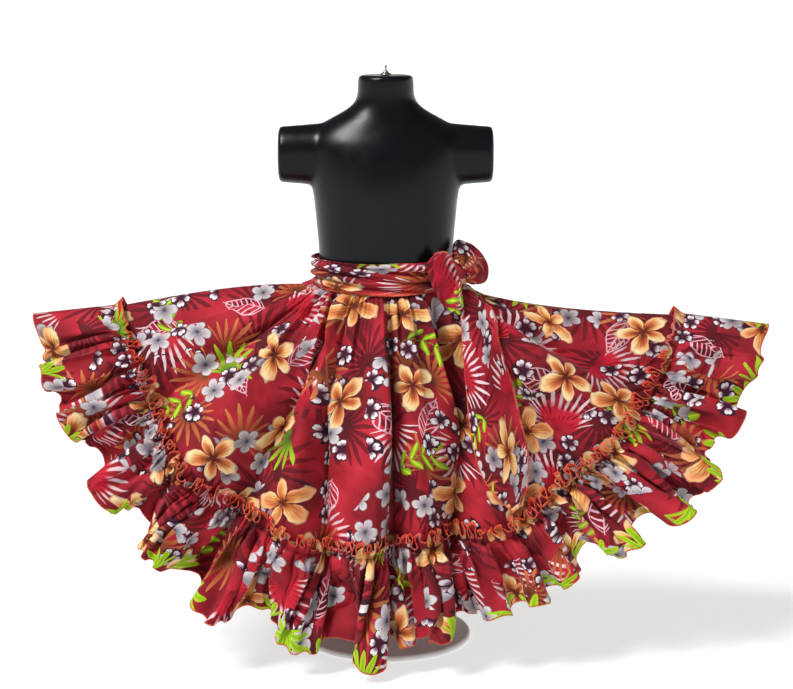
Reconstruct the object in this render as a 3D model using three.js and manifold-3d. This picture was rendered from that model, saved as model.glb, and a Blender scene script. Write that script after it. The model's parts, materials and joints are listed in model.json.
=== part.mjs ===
// A jibara skirt worn on a limbless child's dress form, which stands on a pole and a round base.
//
// The skirt is a full circle of cloth gathered into a waistband. Both sides are spread out level with
// the hips, so it hangs as a fan: a front panel and a back panel that meet along a rounded ridge on
// each side. A deep gathered flounce is sewn on near the lower edge, and its own top edge stands up
// as a frill. A wide sash goes round the waistband and is tied over the wearer's left hip, with a
// loop, a short end that folds over the knot, and a long end that hangs down the front.
//
// Axes: +X is the wearer's left, -Y is the front, +Z is up. The origin is the centre of the base's
// underside. Lengths are in millimetres and angles in degrees.

import * as THREE from "three";
import Module from "manifold-3d";
import { mergeVertices } from "three/addons/utils/BufferGeometryUtils.js";

const wasm = await Module();
wasm.setup();

// ------------------------------------------------------------------------------ driving sizes

const waistHeight = 548; // the waist line above the floor; every "height" below is above the waist
const formHalfWidth = 100; // the dress form at its waist
const formHalfDepth = 80;

const clothWall = 2;
const sashWall = 3; // the sash is folded and creased, so its wall is a little thicker
const seamGap = 0.35; // between pieces that are sewn or pressed together
const formGap = 0.8; // between the dress form and the waistband

const waistband = { bottom: 0, top: 38 };
const fan = { start: 6, end: 175.2 }; // directions of the two side ridges, from level round to level
const ridgeRoundness = 0.6; // how full the side ridges are: smaller is fuller
const flarePower = 1.8; // how soon the gathers push the cloth away from the body
const hipDrop = -13; // the ridge dips on the wearer's left
const hipRise = 10; // and lifts over the hip on the wearer's right
const calmShare = 0.06; // the share of a side, next to each ridge, over which the folds die out
const heading = { depth: 12, flare: 6 }; // the frill above the stitching, and how far it stands off
const frillGap = 0.7; // under the flounce, where it crosses the folds of the panel
const columnsPerWave = { front: 6, back: 5 }; // mesh columns for each wave of the flounce

// ------------------------------------------------------------------------------ the skirt's tables
//
// All directions are measured in the fan, from the wearer's left (0) under the hem to the right (180).
// reach: how far the flounce's stitching lies from the middle of the waist.
// folds: ridges (height above 0) and troughs (below 0) that run down from the gathers. rise and fall
//   are the half-widths of the two flanks, and lean turns the upper end of the fold.
// waves: one row for each wave of the flounce, at its ridge. hem is the reach of the lower edge
//   there, notch its reach in the trough after it, and height how far the wave swings in and out.

const front = {
  name: "front",
  facing: -1,
  seamDepth: 160,
  hemDepth: 192,
  reach: [
    { angle: 6, seam: 452 },
    { angle: 20, seam: 427 },
    { angle: 34, seam: 408 },
    { angle: 48, seam: 386 },
    { angle: 62, seam: 392 },
    { angle: 76, seam: 368 },
    { angle: 91, seam: 370 },
    { angle: 105, seam: 386 },
    { angle: 122, seam: 387 },
    { angle: 136, seam: 402 },
    { angle: 150, seam: 393 },
    { angle: 163, seam: 390 },
    { angle: 175.2, seam: 410 },
  ],
  folds: [
    { angle: 20, fall: 5, rise: 4, height: -18, lean: 2 },
    { angle: 31, fall: 7, rise: 5, height: 15, lean: -2 },
    { angle: 43, fall: 4, rise: 4, height: -16, lean: -10 },
    { angle: 64, fall: 5, rise: 8, height: 14, lean: -18 },
    { angle: 75, fall: 4.5, rise: 4.5, height: -38, lean: -22 },
    { angle: 82, fall: 4, rise: 5, height: 18, lean: -3 },
    { angle: 88, fall: 3, rise: 4, height: -28, lean: 0 },
    { angle: 96, fall: 5, rise: 3, height: 26, lean: -3 },
    { angle: 102, fall: 4, rise: 4, height: -24, lean: 15 },
    { angle: 110, fall: 4, rise: 4, height: 20, lean: 13 },
    { angle: 125, fall: 5, rise: 5, height: -34, lean: -1 },
    { angle: 136, fall: 8, rise: 5, height: 18, lean: 2 },
    { angle: 154, fall: 4, rise: 4, height: -14, lean: 3 },
    { angle: 162, fall: 5, rise: 4, height: 13, lean: 0 },
    { angle: 169, fall: 4, rise: 3, height: -10, lean: -3 },
  ],
  waves: [
    { angle: 6, hem: 579, notch: 568, height: 8 },
    { angle: 12, hem: 568, notch: 548, height: 14 },
    { angle: 20.5, hem: 556, notch: 532, height: 20 },
    { angle: 30, hem: 554, notch: 544, height: 14 },
    { angle: 36.5, hem: 543, notch: 500, height: 22 },
    { angle: 46, hem: 510, notch: 468, height: 24 },
    { angle: 57, hem: 488, notch: 484, height: 12 },
    { angle: 63, hem: 496, notch: 482, height: 14 },
    { angle: 70, hem: 488, notch: 476, height: 18 },
    { angle: 81, hem: 496, notch: 492, height: 16 },
    { angle: 86.5, hem: 508, notch: 498, height: 12 },
    { angle: 92, hem: 532, notch: 494, height: 26 },
    { angle: 104, hem: 524, notch: 486, height: 22 },
    { angle: 120, hem: 530, notch: 500, height: 24 },
    { angle: 131.5, hem: 508, notch: 480, height: 20 },
    { angle: 144.5, hem: 514, notch: 488, height: 22 },
    { angle: 158, hem: 512, notch: 508, height: 16 },
    { angle: 165, hem: 524, notch: 518, height: 14 },
    { angle: 175.2, hem: 532, notch: 532, height: 8 },
  ],
};

const back = {
  name: "back",
  facing: 1,
  seamDepth: 140,
  hemDepth: 168,
  reach: [
    { angle: 6, seam: 452 },
    { angle: 30, seam: 412 },
    { angle: 58, seam: 390 },
    { angle: 90, seam: 376 },
    { angle: 122, seam: 388 },
    { angle: 150, seam: 396 },
    { angle: 175.2, seam: 410 },
  ],
  folds: [
    { angle: 24, fall: 5, rise: 5, height: -16, lean: 0 },
    { angle: 36, fall: 6, rise: 6, height: 15, lean: -4 },
    { angle: 50, fall: 5, rise: 5, height: -24, lean: -8 },
    { angle: 62, fall: 6, rise: 5, height: 18, lean: -6 },
    { angle: 76, fall: 5, rise: 4, height: -26, lean: -3 },
    { angle: 88, fall: 7, rise: 5, height: 20, lean: 0 },
    { angle: 102, fall: 5, rise: 5, height: -24, lean: 3 },
    { angle: 115, fall: 6, rise: 5, height: 18, lean: 6 },
    { angle: 130, fall: 5, rise: 5, height: -22, lean: 7 },
    { angle: 144, fall: 7, rise: 6, height: 15, lean: 4 },
    { angle: 160, fall: 5, rise: 5, height: -14, lean: 0 },
  ],
  waves: [
    { angle: 6, hem: 579, notch: 562, height: 8 },
    { angle: 17, hem: 562, notch: 540, height: 16 },
    { angle: 30, hem: 552, notch: 524, height: 20 },
    { angle: 43, hem: 532, notch: 500, height: 22 },
    { angle: 56, hem: 510, notch: 486, height: 20 },
    { angle: 68, hem: 506, notch: 478, height: 24 },
    { angle: 81, hem: 508, notch: 484, height: 20 },
    { angle: 93, hem: 512, notch: 484, height: 24 },
    { angle: 106, hem: 510, notch: 488, height: 20 },
    { angle: 118, hem: 514, notch: 490, height: 22 },
    { angle: 131, hem: 510, notch: 490, height: 22 },
    { angle: 144, hem: 514, notch: 496, height: 18 },
    { angle: 157, hem: 520, notch: 504, height: 18 },
    { angle: 168, hem: 524, notch: 518, height: 12 },
    { angle: 175.2, hem: 532, notch: 532, height: 8 },
  ],
};

// How far down a panel its mesh rows lie, from the gathers (0) to the flounce's stitching (1). The
// last row but one lies under the frill's edge.
const underFrill = 1 - heading.depth / 380;
const panelRows = { front: [0, 0.08, 0.3, 0.65, underFrill, 1], back: [0, 0.12, 0.5, underFrill, 1] };

// The same for the flounce: -1 is the frill's edge, 0 the stitching and 1 the hem.
const flounceRows = { front: [-1, 0, 0.33, 0.67, 1], back: [-1, 0, 0.5, 1] };

// The creases round the sash, from its lower edge up: out is how far each one stands off.
const sashCreases = [
  { height: -3, out: 2.2 },
  { height: 7, out: 0 },
  { height: 17, out: 2.2 },
  { height: 26, out: 0.4 },
  { height: 35, out: 1.8 },
  { height: 43, out: 0 },
];
const sashLiftAtSides = 5; // its lower edge rides up where the skirt leaves the hips level

// The knot, as an oval body pressed against the sash. round is its direction from the wearer's left.
const knot = { round: 26, height: 17, standOff: 10, radius: 17, halfHeight: 22 };

// The bow's loop: a band that leaves the top of the knot, turns over and comes back to its side.
const loopPath = [
  { x: 112, height: 42, halfWidth: 9 },
  { x: 109, height: 51, halfWidth: 13 },
  { x: 115, height: 60, halfWidth: 16 },
  { x: 128, height: 54, halfWidth: 18 },
  { x: 140, height: 41, halfWidth: 19 },
  { x: 147, height: 25, halfWidth: 19 },
  { x: 146, height: 10, halfWidth: 17 },
  { x: 136, height: 4, halfWidth: 13 },
  { x: 126, height: 9, halfWidth: 9 },
];
const loopY = -34;
const loopWidthDirection = new THREE.Vector3(0.15, 0.9, 0.4).normalize();

// The short end: it spreads from a root on the knot (rootX, rootHeight) to its free edge.
const shortEnd = [
  { rootX: 101, rootHeight: 40, x: 60, y: -83, height: 55 },
  { rootX: 101, rootHeight: 37, x: 61, y: -85, height: 39 },
  { rootX: 102, rootHeight: 34, x: 67, y: -87, height: 13 },
  { rootX: 103, rootHeight: 30, x: 79, y: -88, height: -11 },
  { rootX: 104, rootHeight: 26, x: 95, y: -87, height: -26 },
  { rootX: 106, rootHeight: 22, x: 108, y: -85, height: -31 },
  { rootX: 108, rootHeight: 19, x: 115, y: -81, height: -24 },
];
const shortEndRootY = -60.4;
const shortEndBulge = 7;

// The long end, laid on the front panel: its two edges as directions in the fan, and its lift off
// the panel, at each distance down the panel.
const longEnd = [
  { down: 0.045, left: 24, right: 37, lift: 6 },
  { down: 0.09, left: 21, right: 41, lift: 8 },
  { down: 0.14, left: 20, right: 45, lift: 9.5 },
  { down: 0.2, left: 25.5, right: 49.5, lift: 10 },
  { down: 0.25, left: 30, right: 52.5, lift: 9.5 },
  { down: 0.31, left: 35, right: 55, lift: 8 },
  { down: 0.48, left: 42, right: 60.8, lift: 7 },
  { down: 0.62, left: 46.5, right: 63.4, lift: 6.5 },
  { down: 0.76, left: 50, right: 63.8, lift: 6.5 },
  { down: 0.86, left: 54, right: 61.8, lift: 6 },
  { down: 0.91, left: 57.5, right: 60.3, lift: 6 },
];

// The dress form's trunk, from its flat underside to the flat top of its neck.
const trunk = [
  { height: -172, halfWidth: 96, halfDepth: 76 },
  { height: -166, halfWidth: 104, halfDepth: 84 },
  { height: -120, halfWidth: 107, halfDepth: 87 },
  { height: -60, halfWidth: 103, halfDepth: 83 },
  { height: 0, halfWidth: formHalfWidth, halfDepth: formHalfDepth },
  { height: 50, halfWidth: 100, halfDepth: 80.5 },
  { height: 100, halfWidth: 104, halfDepth: 84 },
  { height: 130, halfWidth: 107, halfDepth: 86 },
  { height: 160, halfWidth: 112, halfDepth: 84 },
  { height: 190, halfWidth: 118, halfDepth: 77 },
  { height: 215, halfWidth: 117, halfDepth: 68 },
  { height: 232, halfWidth: 106, halfDepth: 59 },
  { height: 246, halfWidth: 86, halfDepth: 52 },
  { height: 258, halfWidth: 64, halfDepth: 47 },
  { height: 270, halfWidth: 48, halfDepth: 44 },
  { height: 284, halfWidth: 42, halfDepth: 42 },
  { height: 308, halfWidth: 41, halfDepth: 41 },
  { height: 312, halfWidth: 38.5, halfDepth: 38.5 },
];

// The stumps of the shoulders: they end in flat discs.
const shoulder = { height: 195, endX: 159, length: 75, endRadius: 41, rootRadius: 47, depthShare: 0.86 };

const pole = { radius: 12.5, depthInForm: 60, sides: 32 };
const base = { radius: 130, thickness: 8, edge: 3, bossRadius: 20, bossHeight: 34, seat: 8, sides: 64 };
const finial = { height: 14, sides: 20 };

const ringSides = 40; // of the waistband, the sash and the trunk, so that they nest

// ------------------------------------------------------------------------------ helpers

const rad = THREE.MathUtils.degToRad;
const lerp = THREE.MathUtils.lerp;
const smooth = (x, from, to) => THREE.MathUtils.smoothstep(x, from, to);

// A column of a table at x, on a smooth curve through its rows. The rows are in order of their key.
function fromTable(rows, key, column, x) {
  const next = rows.findIndex((row) => row[key] > x);
  const i = next < 0 ? rows.length - 2 : Math.max(0, next - 1);
  const slope = (k) => {
    const a = rows[Math.max(0, k - 1)];
    const b = rows[Math.min(rows.length - 1, k + 1)];
    return (b[column] - a[column]) / (b[key] - a[key]);
  };
  const span = rows[i + 1][key] - rows[i][key];
  const t = THREE.MathUtils.clamp((x - rows[i][key]) / span, 0, 1);
  const eased = t * t * (3 - 2 * t);
  const lead = t * (1 - t) * (1 - t) * slope(i) * span;
  const trail = t * t * (1 - t) * slope(i + 1) * span;
  return lerp(rows[i][column], rows[i + 1][column], eased) + lead - trail;
}

const evenly = (count) => Array.from({ length: count + 1 }, (_, i) => i / count);

// ------------------------------------------------------------------------------ the skirt's surfaces
//
// u runs across a side of the skirt, from the wearer's left ridge (0) to the right one (1).
// s runs down a panel from the gathers (0) to the flounce's stitching (1).
// q runs down the flounce from its stitching (0) to its hem (1), and up the frill to -1.

const directionAt = (u) => lerp(fan.start, fan.end, u);
const shareAt = (angle) => (angle - fan.start) / (fan.end - fan.start);
const calm = (u) => smooth(u, 0, calmShare) * smooth(1 - u, 0, calmShare);

const waistOffset = formGap + clothWall / 2; // from the form to the middle of the waistband's wall
const gatherHeight = waistband.bottom - seamGap - clothWall / 2;

function fanPoint(side, u, reach, depth) {
  const angle = rad(directionAt(u));
  const fullness = Math.pow(Math.max(0, Math.sin(Math.PI * u)), ridgeRoundness);
  return new THREE.Vector3(
    reach * Math.cos(angle),
    side.facing * (depth * fullness + seamGap / 2),
    waistHeight - reach * Math.sin(angle),
  );
}

function panelWithoutFolds(side, u, s) {
  const round = Math.PI * u;
  const top = new THREE.Vector3(
    (formHalfWidth + waistOffset) * Math.cos(round),
    side.facing * ((formHalfDepth + waistOffset) * Math.sin(round) + seamGap / 2),
    waistHeight + gatherHeight,
  );
  const reach = fromTable(side.reach, "angle", "seam", directionAt(u));
  const seam = fanPoint(side, u, reach, side.seamDepth);
  const flare = 1 - Math.pow(1 - s, flarePower);
  const hip = hipDrop * Math.exp(-((u / 0.1) ** 2)) + hipRise * Math.exp(-(((1 - u) / 0.1) ** 2));
  return new THREE.Vector3(
    lerp(top.x, seam.x, s),
    lerp(top.y, seam.y, flare),
    lerp(top.z, seam.z, s) + hip * Math.sin(Math.PI * Math.pow(s, 0.75)),
  );
}

function foldHeight(side, u, s) {
  let height = 0;
  for (const fold of side.folds) {
    const away = directionAt(u) - (fold.angle + fold.lean * (1 - s));
    const flank = away > 0 ? fold.fall : fold.rise;
    height += fold.height * Math.exp(-((away / flank) ** 2));
  }
  const growth = smooth(s, 0, 0.08) * (0.2 + 0.8 * smooth(s, 0.05, 0.6));
  return height * growth * calm(u);
}

// The outward direction of a surface(u, s) of one side. On a ridge it has no front-to-back part, so
// that the front and the back meet in one plane.
function outward(side, surface, u, s) {
  const step = 0.001;
  const across = surface(Math.min(1, u + step), s).sub(surface(Math.max(0, u - step), s));
  const down = surface(u, Math.min(1, s + step)).sub(surface(u, Math.max(0, s - step)));
  const normal = across.cross(down).multiplyScalar(-side.facing);
  if (u <= 0 || u >= 1) normal.y = 0;
  return normal.normalize();
}

function outwardWithoutFolds(side, u, s) {
  return outward(side, (a, b) => panelWithoutFolds(side, a, b), u, s);
}

function foldedPanel(side, u, s) {
  return panelWithoutFolds(side, u, s).addScaledVector(outwardWithoutFolds(side, u, s), foldHeight(side, u, s));
}

// A point that lies a given distance outside the folded panel.
function overPanel(side, u, s, lift) {
  const normal = outward(side, (a, b) => foldedPanel(side, a, b), u, s);
  return foldedPanel(side, u, s).addScaledVector(normal, lift);
}

// The wave that u lies in: the reach of the hem there, and how far the wave swings out.
function waveAt(side, u) {
  const waves = side.waves;
  const angle = directionAt(u);
  const next = waves.findIndex((wave) => wave.angle > angle);
  const i = next < 0 ? waves.length - 2 : Math.max(0, next - 1);
  const t = THREE.MathUtils.clamp((angle - waves[i].angle) / (waves[i + 1].angle - waves[i].angle), 0, 1);
  const swing = Math.cos(2 * Math.PI * t);
  const ridge = lerp(waves[i].hem, waves[i + 1].hem, t);
  return {
    reach: lerp(waves[i].notch, ridge, (1 + swing) / 2),
    height: swing * lerp(waves[i].height, waves[i + 1].height, t) * calm(u),
  };
}

function flouncePoint(side, u, q) {
  const sewnOn = clothWall + frillGap;
  if (q < 0) return overPanel(side, u, lerp(1, underFrill, -q), sewnOn - q * heading.flare);
  const normal = outwardWithoutFolds(side, u, 1);
  const seam = overPanel(side, u, 1, sewnOn);
  const { reach, height } = waveAt(side, u);
  const hem = fanPoint(side, u, reach, side.hemDepth).addScaledVector(normal, foldHeight(side, u, 1) / 2);
  return seam.lerp(hem, q).addScaledVector(normal, height * smooth(q, 0, 0.95));
}

// ------------------------------------------------------------------------------ making solids

// Mesh columns for one side of the skirt: the same number in each wave of the flounce, so that each
// wave keeps its ridge and its trough. The panel has the same columns, and the flounce lies on it.
function columnsOf(side) {
  const count = columnsPerWave[side.name];
  const columns = [0];
  for (let i = 0; i + 1 < side.waves.length; i += 1) {
    for (let k = 1; k <= count; k += 1) {
      columns.push(shareAt(lerp(side.waves[i].angle, side.waves[i + 1].angle, k / count)));
    }
  }
  return columns;
}

function solidFrom(points, triangles) {
  let volume = 0;
  for (const [a, b, c] of triangles) volume += points[a].dot(points[b].clone().cross(points[c]));
  const facingOut = volume > 0 ? triangles : triangles.map(([a, b, c]) => [a, c, b]);
  const geometry = new THREE.BufferGeometry().setFromPoints(points);
  geometry.setIndex(facingOut.flat());
  return geometry;
}

// A wall on both sides of a surface. across and down are the values at which surface(a, b) is taken.
// A ring closes on itself across; flatEnds keeps the first and last columns in their own plane.
function wall(surface, across, down, thickness, { ring = false, flatEnds = false } = {}) {
  const rows = down.length;
  const columns = across.length;
  const middle = across.map((a) => down.map((b) => surface(a, b)));
  const columnBy = (i) => (ring ? (i + columns) % columns : THREE.MathUtils.clamp(i, 0, columns - 1));
  const points = [];
  for (let i = 0; i < columns; i += 1) {
    for (let j = 0; j < rows; j += 1) {
      const along = middle[columnBy(i + 1)][j].clone().sub(middle[columnBy(i - 1)][j]);
      const below = middle[i][Math.min(rows - 1, j + 1)].clone().sub(middle[i][Math.max(0, j - 1)]);
      const normal = along.cross(below);
      if (flatEnds && (i === 0 || i === columns - 1)) normal.y = 0;
      normal.setLength(thickness / 2);
      points.push(middle[i][j].clone().add(normal), middle[i][j].clone().sub(normal));
    }
  }
  const at = (i, j, face) => (columnBy(i) * rows + j) * 2 + face;
  const triangles = [];
  const quad = (a, b, c, d) => triangles.push([a, b, c], [a, c, d]);
  const steps = ring ? columns : columns - 1;
  for (let i = 0; i < steps; i += 1) {
    for (let j = 0; j + 1 < rows; j += 1) {
      quad(at(i, j, 0), at(i, j + 1, 0), at(i + 1, j + 1, 0), at(i + 1, j, 0));
      quad(at(i, j, 1), at(i + 1, j, 1), at(i + 1, j + 1, 1), at(i, j + 1, 1));
    }
    quad(at(i, 0, 0), at(i + 1, 0, 0), at(i + 1, 0, 1), at(i, 0, 1));
    quad(at(i, rows - 1, 0), at(i, rows - 1, 1), at(i + 1, rows - 1, 1), at(i + 1, rows - 1, 0));
  }
  if (!ring) {
    for (let j = 0; j + 1 < rows; j += 1) {
      quad(at(0, j, 0), at(0, j, 1), at(0, j + 1, 1), at(0, j + 1, 0));
      quad(at(steps, j, 0), at(steps, j + 1, 0), at(steps, j + 1, 1), at(steps, j, 1));
    }
  }
  return solidFrom(points, triangles);
}

// A solid through level oval sections, closed flat at both ends.
function loft(sections, sides) {
  const points = [];
  for (const { height, halfWidth, halfDepth } of sections) {
    for (let k = 0; k < sides; k += 1) {
      const round = (2 * Math.PI * k) / sides;
      const point = [halfWidth * Math.cos(round), halfDepth * Math.sin(round), waistHeight + height];
      points.push(new THREE.Vector3(...point));
    }
  }
  const triangles = [];
  const last = (sections.length - 1) * sides;
  for (let k = 0; k < sides; k += 1) {
    const next = (k + 1) % sides;
    for (let row = 0; row < last; row += sides) {
      triangles.push([row + k, row + next, row + sides + next], [row + k, row + sides + next, row + sides + k]);
    }
    if (k > 0 && next > 0) triangles.push([0, next, k], [last, last + k, last + next]);
  }
  return solidFrom(points, triangles);
}

function toManifold(geometry) {
  const bare = geometry.clone();
  bare.deleteAttribute("normal");
  bare.deleteAttribute("uv");
  const merged = mergeVertices(bare);
  const vertProperties = new Float32Array(merged.attributes.position.array);
  return new wasm.Manifold(new wasm.Mesh({ numProp: 3, vertProperties, triVerts: merged.index.array }));
}

function fromManifold(solid) {
  const { vertProperties, triVerts } = solid.getMesh();
  const geometry = new THREE.BufferGeometry();
  geometry.setAttribute("position", new THREE.BufferAttribute(vertProperties, 3));
  geometry.setIndex(new THREE.BufferAttribute(triVerts, 1));
  return geometry;
}

// ------------------------------------------------------------------------------ the cloth pieces

function makePanel(side) {
  const surface = (u, s) => foldedPanel(side, u, s);
  return wall(surface, columnsOf(side), panelRows[side.name], clothWall, { flatEnds: true });
}

function makeFlounce(side) {
  const surface = (u, q) => flouncePoint(side, u, q);
  return wall(surface, columnsOf(side), flounceRows[side.name], clothWall, { flatEnds: true });
}

// A point on an oval round the form, at a direction from the wearer's left towards the front.
function roundWaist(turn, offset, height) {
  const x = (formHalfWidth + offset) * Math.cos(turn);
  const y = -(formHalfDepth + offset) * Math.sin(turn);
  return new THREE.Vector3(x, y, waistHeight + height);
}

function makeWaistband() {
  const surface = (turn, height) => roundWaist(turn * 2 * Math.PI, waistOffset, height);
  const turns = evenly(ringSides).slice(0, -1);
  return wall(surface, turns, [waistband.top, waistband.bottom], clothWall, { ring: true });
}

const sashOffset = formGap + clothWall + seamGap; // from the form to the sash's inner side
const sashReach = sashOffset + sashWall + Math.max(...sashCreases.map((crease) => crease.out));

function makeSashWrap() {
  const lowest = sashCreases[0].height;
  const highest = sashCreases[sashCreases.length - 1].height;
  const surface = (turn, height) => {
    const angle = turn * 2 * Math.PI;
    const out = fromTable(sashCreases, "height", "out", height);
    const lift = sashLiftAtSides * Math.cos(angle) ** 2 * ((highest - height) / (highest - lowest));
    return roundWaist(angle, sashOffset + sashWall / 2 + out, height + lift);
  };
  const heights = sashCreases.map((crease) => crease.height).reverse();
  return wall(surface, evenly(ringSides).slice(0, -1), heights, sashWall, { ring: true });
}

function makeKnot() {
  const turn = rad(knot.round);
  const pressed = roundWaist(turn, sashOffset + sashWall, knot.height);
  const away = new THREE.Vector3(Math.cos(turn) / formHalfWidth, -Math.sin(turn) / formHalfDepth, 0);
  const centre = pressed.addScaledVector(away.normalize(), knot.standOff);
  const oval = new THREE.SphereGeometry(1, 16, 10).rotateX(Math.PI / 2);
  oval.scale(knot.radius, knot.radius, knot.halfHeight).translate(centre.x, centre.y, centre.z);
  const cutter = new THREE.CylinderGeometry(1, 1, 4 * knot.halfHeight, 96).rotateX(Math.PI / 2);
  const clear = sashReach + seamGap;
  cutter.scale(formHalfWidth + clear, formHalfDepth + clear, 1).translate(0, 0, centre.z);
  return fromManifold(toManifold(oval).subtract(toManifold(cutter)));
}

function makeLoop() {
  const last = loopPath.length - 1;
  const rows = loopPath.map((row, i) => ({ ...row, along: i / last }));
  const surface = (along, across) => {
    const [x, height, halfWidth] = ["x", "height", "halfWidth"].map((column) =>
      fromTable(rows, "along", column, along));
    const middle = new THREE.Vector3(x, loopY, waistHeight + height);
    return middle.addScaledVector(loopWidthDirection, halfWidth * across);
  };
  return wall(surface, evenly(16), [-1, -0.3, 0.3, 1], clothWall);
}

function makeShortEnd() {
  const last = shortEnd.length - 1;
  const rows = shortEnd.map((row, i) => ({ ...row, along: i / last }));
  const surface = (along, outwards) => {
    const at = (column) => fromTable(rows, "along", column, along);
    const root = new THREE.Vector3(at("rootX"), shortEndRootY, waistHeight + at("rootHeight"));
    const edge = new THREE.Vector3(at("x"), at("y"), waistHeight + at("height"));
    const point = root.lerp(edge, outwards);
    point.y -= shortEndBulge * Math.sin(Math.PI * outwards);
    return point;
  };
  return wall(surface, evenly(9), evenly(5), clothWall);
}

// The two stops of a list on either side of x, and how far x is between them.
function between(stops, x) {
  const next = THREE.MathUtils.clamp(stops.findIndex((stop) => stop > x), 1, stops.length - 1);
  return [stops[next - 1], stops[next], (x - stops[next - 1]) / (stops[next] - stops[next - 1])];
}

// A point over the panel's mesh instead of its exact surface, so that it clears the mesh's facets.
function overPanelMesh(side, u, s, lift) {
  const [left, right, across] = between(columnsOf(side), u);
  const [above, below, down] = between(panelRows[side.name], s);
  const row = (at) => overPanel(side, left, at, lift).lerp(overPanel(side, right, at, lift), across);
  return row(above).lerp(row(below), down);
}

function makeLongEnd() {
  const surface = (across, down) => {
    const at = (column) => fromTable(longEnd, "down", column, down);
    return overPanelMesh(front, shareAt(lerp(at("left"), at("right"), across)), down, at("lift"));
  };
  const rows = longEnd.map((row) => row.down);
  return wall(surface, evenly(10), rows, clothWall);
}

// ------------------------------------------------------------------------------ the form and its stand

const formBottom = waistHeight + trunk[0].height;
const neckTop = waistHeight + trunk[trunk.length - 1].height;

function makeForm() {
  let form = toManifold(loft(trunk, ringSides));
  for (const way of [-1, 1]) {
    const stump = new THREE.CylinderGeometry(shoulder.endRadius, shoulder.rootRadius, shoulder.length, 32);
    stump.rotateZ((-way * Math.PI) / 2).scale(1, shoulder.depthShare, 1);
    stump.translate(way * (shoulder.endX - shoulder.length / 2), 0, waistHeight + shoulder.height);
    form = form.add(toManifold(stump));
  }
  const bore = new THREE.CylinderGeometry(pole.radius + seamGap, pole.radius + seamGap,
    2 * pole.depthInForm, pole.sides).rotateX(Math.PI / 2).translate(0, 0, formBottom);
  return fromManifold(form.subtract(toManifold(bore)));
}

// Turns a profile of [radius, height] corners round the Z axis.
function turned(profile, sides) {
  const corners = profile.map(([radius, height]) => new THREE.Vector2(radius, height));
  return new THREE.LatheGeometry(corners, sides).rotateX(Math.PI / 2);
}

function makePole() {
  const from = base.seat + seamGap;
  const to = formBottom + pole.depthInForm - seamGap;
  const tube = new THREE.CylinderGeometry(pole.radius, pole.radius, to - from, pole.sides);
  return tube.rotateX(Math.PI / 2).translate(0, 0, (from + to) / 2);
}

function makeBase() {
  const socket = pole.radius + seamGap;
  return turned([
    [0, 0],
    [base.radius, 0],
    [base.radius, base.thickness - base.edge],
    [base.radius - base.edge, base.thickness],
    [base.bossRadius + 4, base.thickness + 1],
    [base.bossRadius, base.thickness + 6],
    [base.bossRadius, base.bossHeight],
    [socket, base.bossHeight],
    [socket, base.seat],
    [0, base.seat],
  ], base.sides);
}

// A small bell with a thin stem and a round tip.
function makeFinial() {
  const profile = turned([
    [0, 0],
    [8.2, 0],
    [7.6, 1.4],
    [4.6, 3],
    [3.2, 5],
    [1.3, 6.5],
    [1.2, 10.5],
    [2, 11.4],
    [2, 12.8],
    [1.1, 13.7],
    [0, finial.height],
  ], finial.sides);
  return profile.translate(0, 0, neckTop + seamGap);
}

// ------------------------------------------------------------------------------ the whole part

const group = new THREE.Group();

function addPiece(name, geometry, color, roughness, metalness = 0) {
  const mesh = new THREE.Mesh(geometry, new THREE.MeshStandardMaterial({ color, roughness, metalness }));
  mesh.name = name;
  group.add(mesh);
}

const cloth = { panel: 0x9c1c32, flounce: 0xb02a2c, sash: 0xa8333a };

addPiece("waistband", makeWaistband(), cloth.panel, 0.8);
for (const side of [front, back]) {
  addPiece(`panel_${side.name}`, makePanel(side), cloth.panel, 0.75);
  addPiece(`flounce_${side.name}`, makeFlounce(side), cloth.flounce, 0.75);
}
addPiece("sash_wrap", makeSashWrap(), cloth.sash, 0.75);
addPiece("sash_knot", makeKnot(), cloth.sash, 0.75);
addPiece("sash_loop", makeLoop(), cloth.sash, 0.75);
addPiece("sash_short_end", makeShortEnd(), cloth.sash, 0.75);
addPiece("sash_long_end", makeLongEnd(), cloth.sash, 0.75);
addPiece("form_torso", makeForm(), 0x0c0e16, 0.25);
addPiece("neck_finial", makeFinial(), 0x9a978f, 0.35, 1);
addPiece("stand_pole", makePole(), 0xd8d8d6, 0.3, 1);
addPiece("stand_base", makeBase(), 0xeeeeec, 0.4);

export default group;
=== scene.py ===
# %% [markdown]
# # A jibara skirt on its dress form
# A jibara skirt is a full circle of printed cotton with a deep gathered flounce. This one is shown
# with both sides held out, so it hangs as a wide fan. The solids of the frame already have its true
# shape in coarse facets. This lesson dresses them: the same short tables and formulas are run again
# at a fine step, and small gathers, creases, thread and a printed pattern are added.

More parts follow.
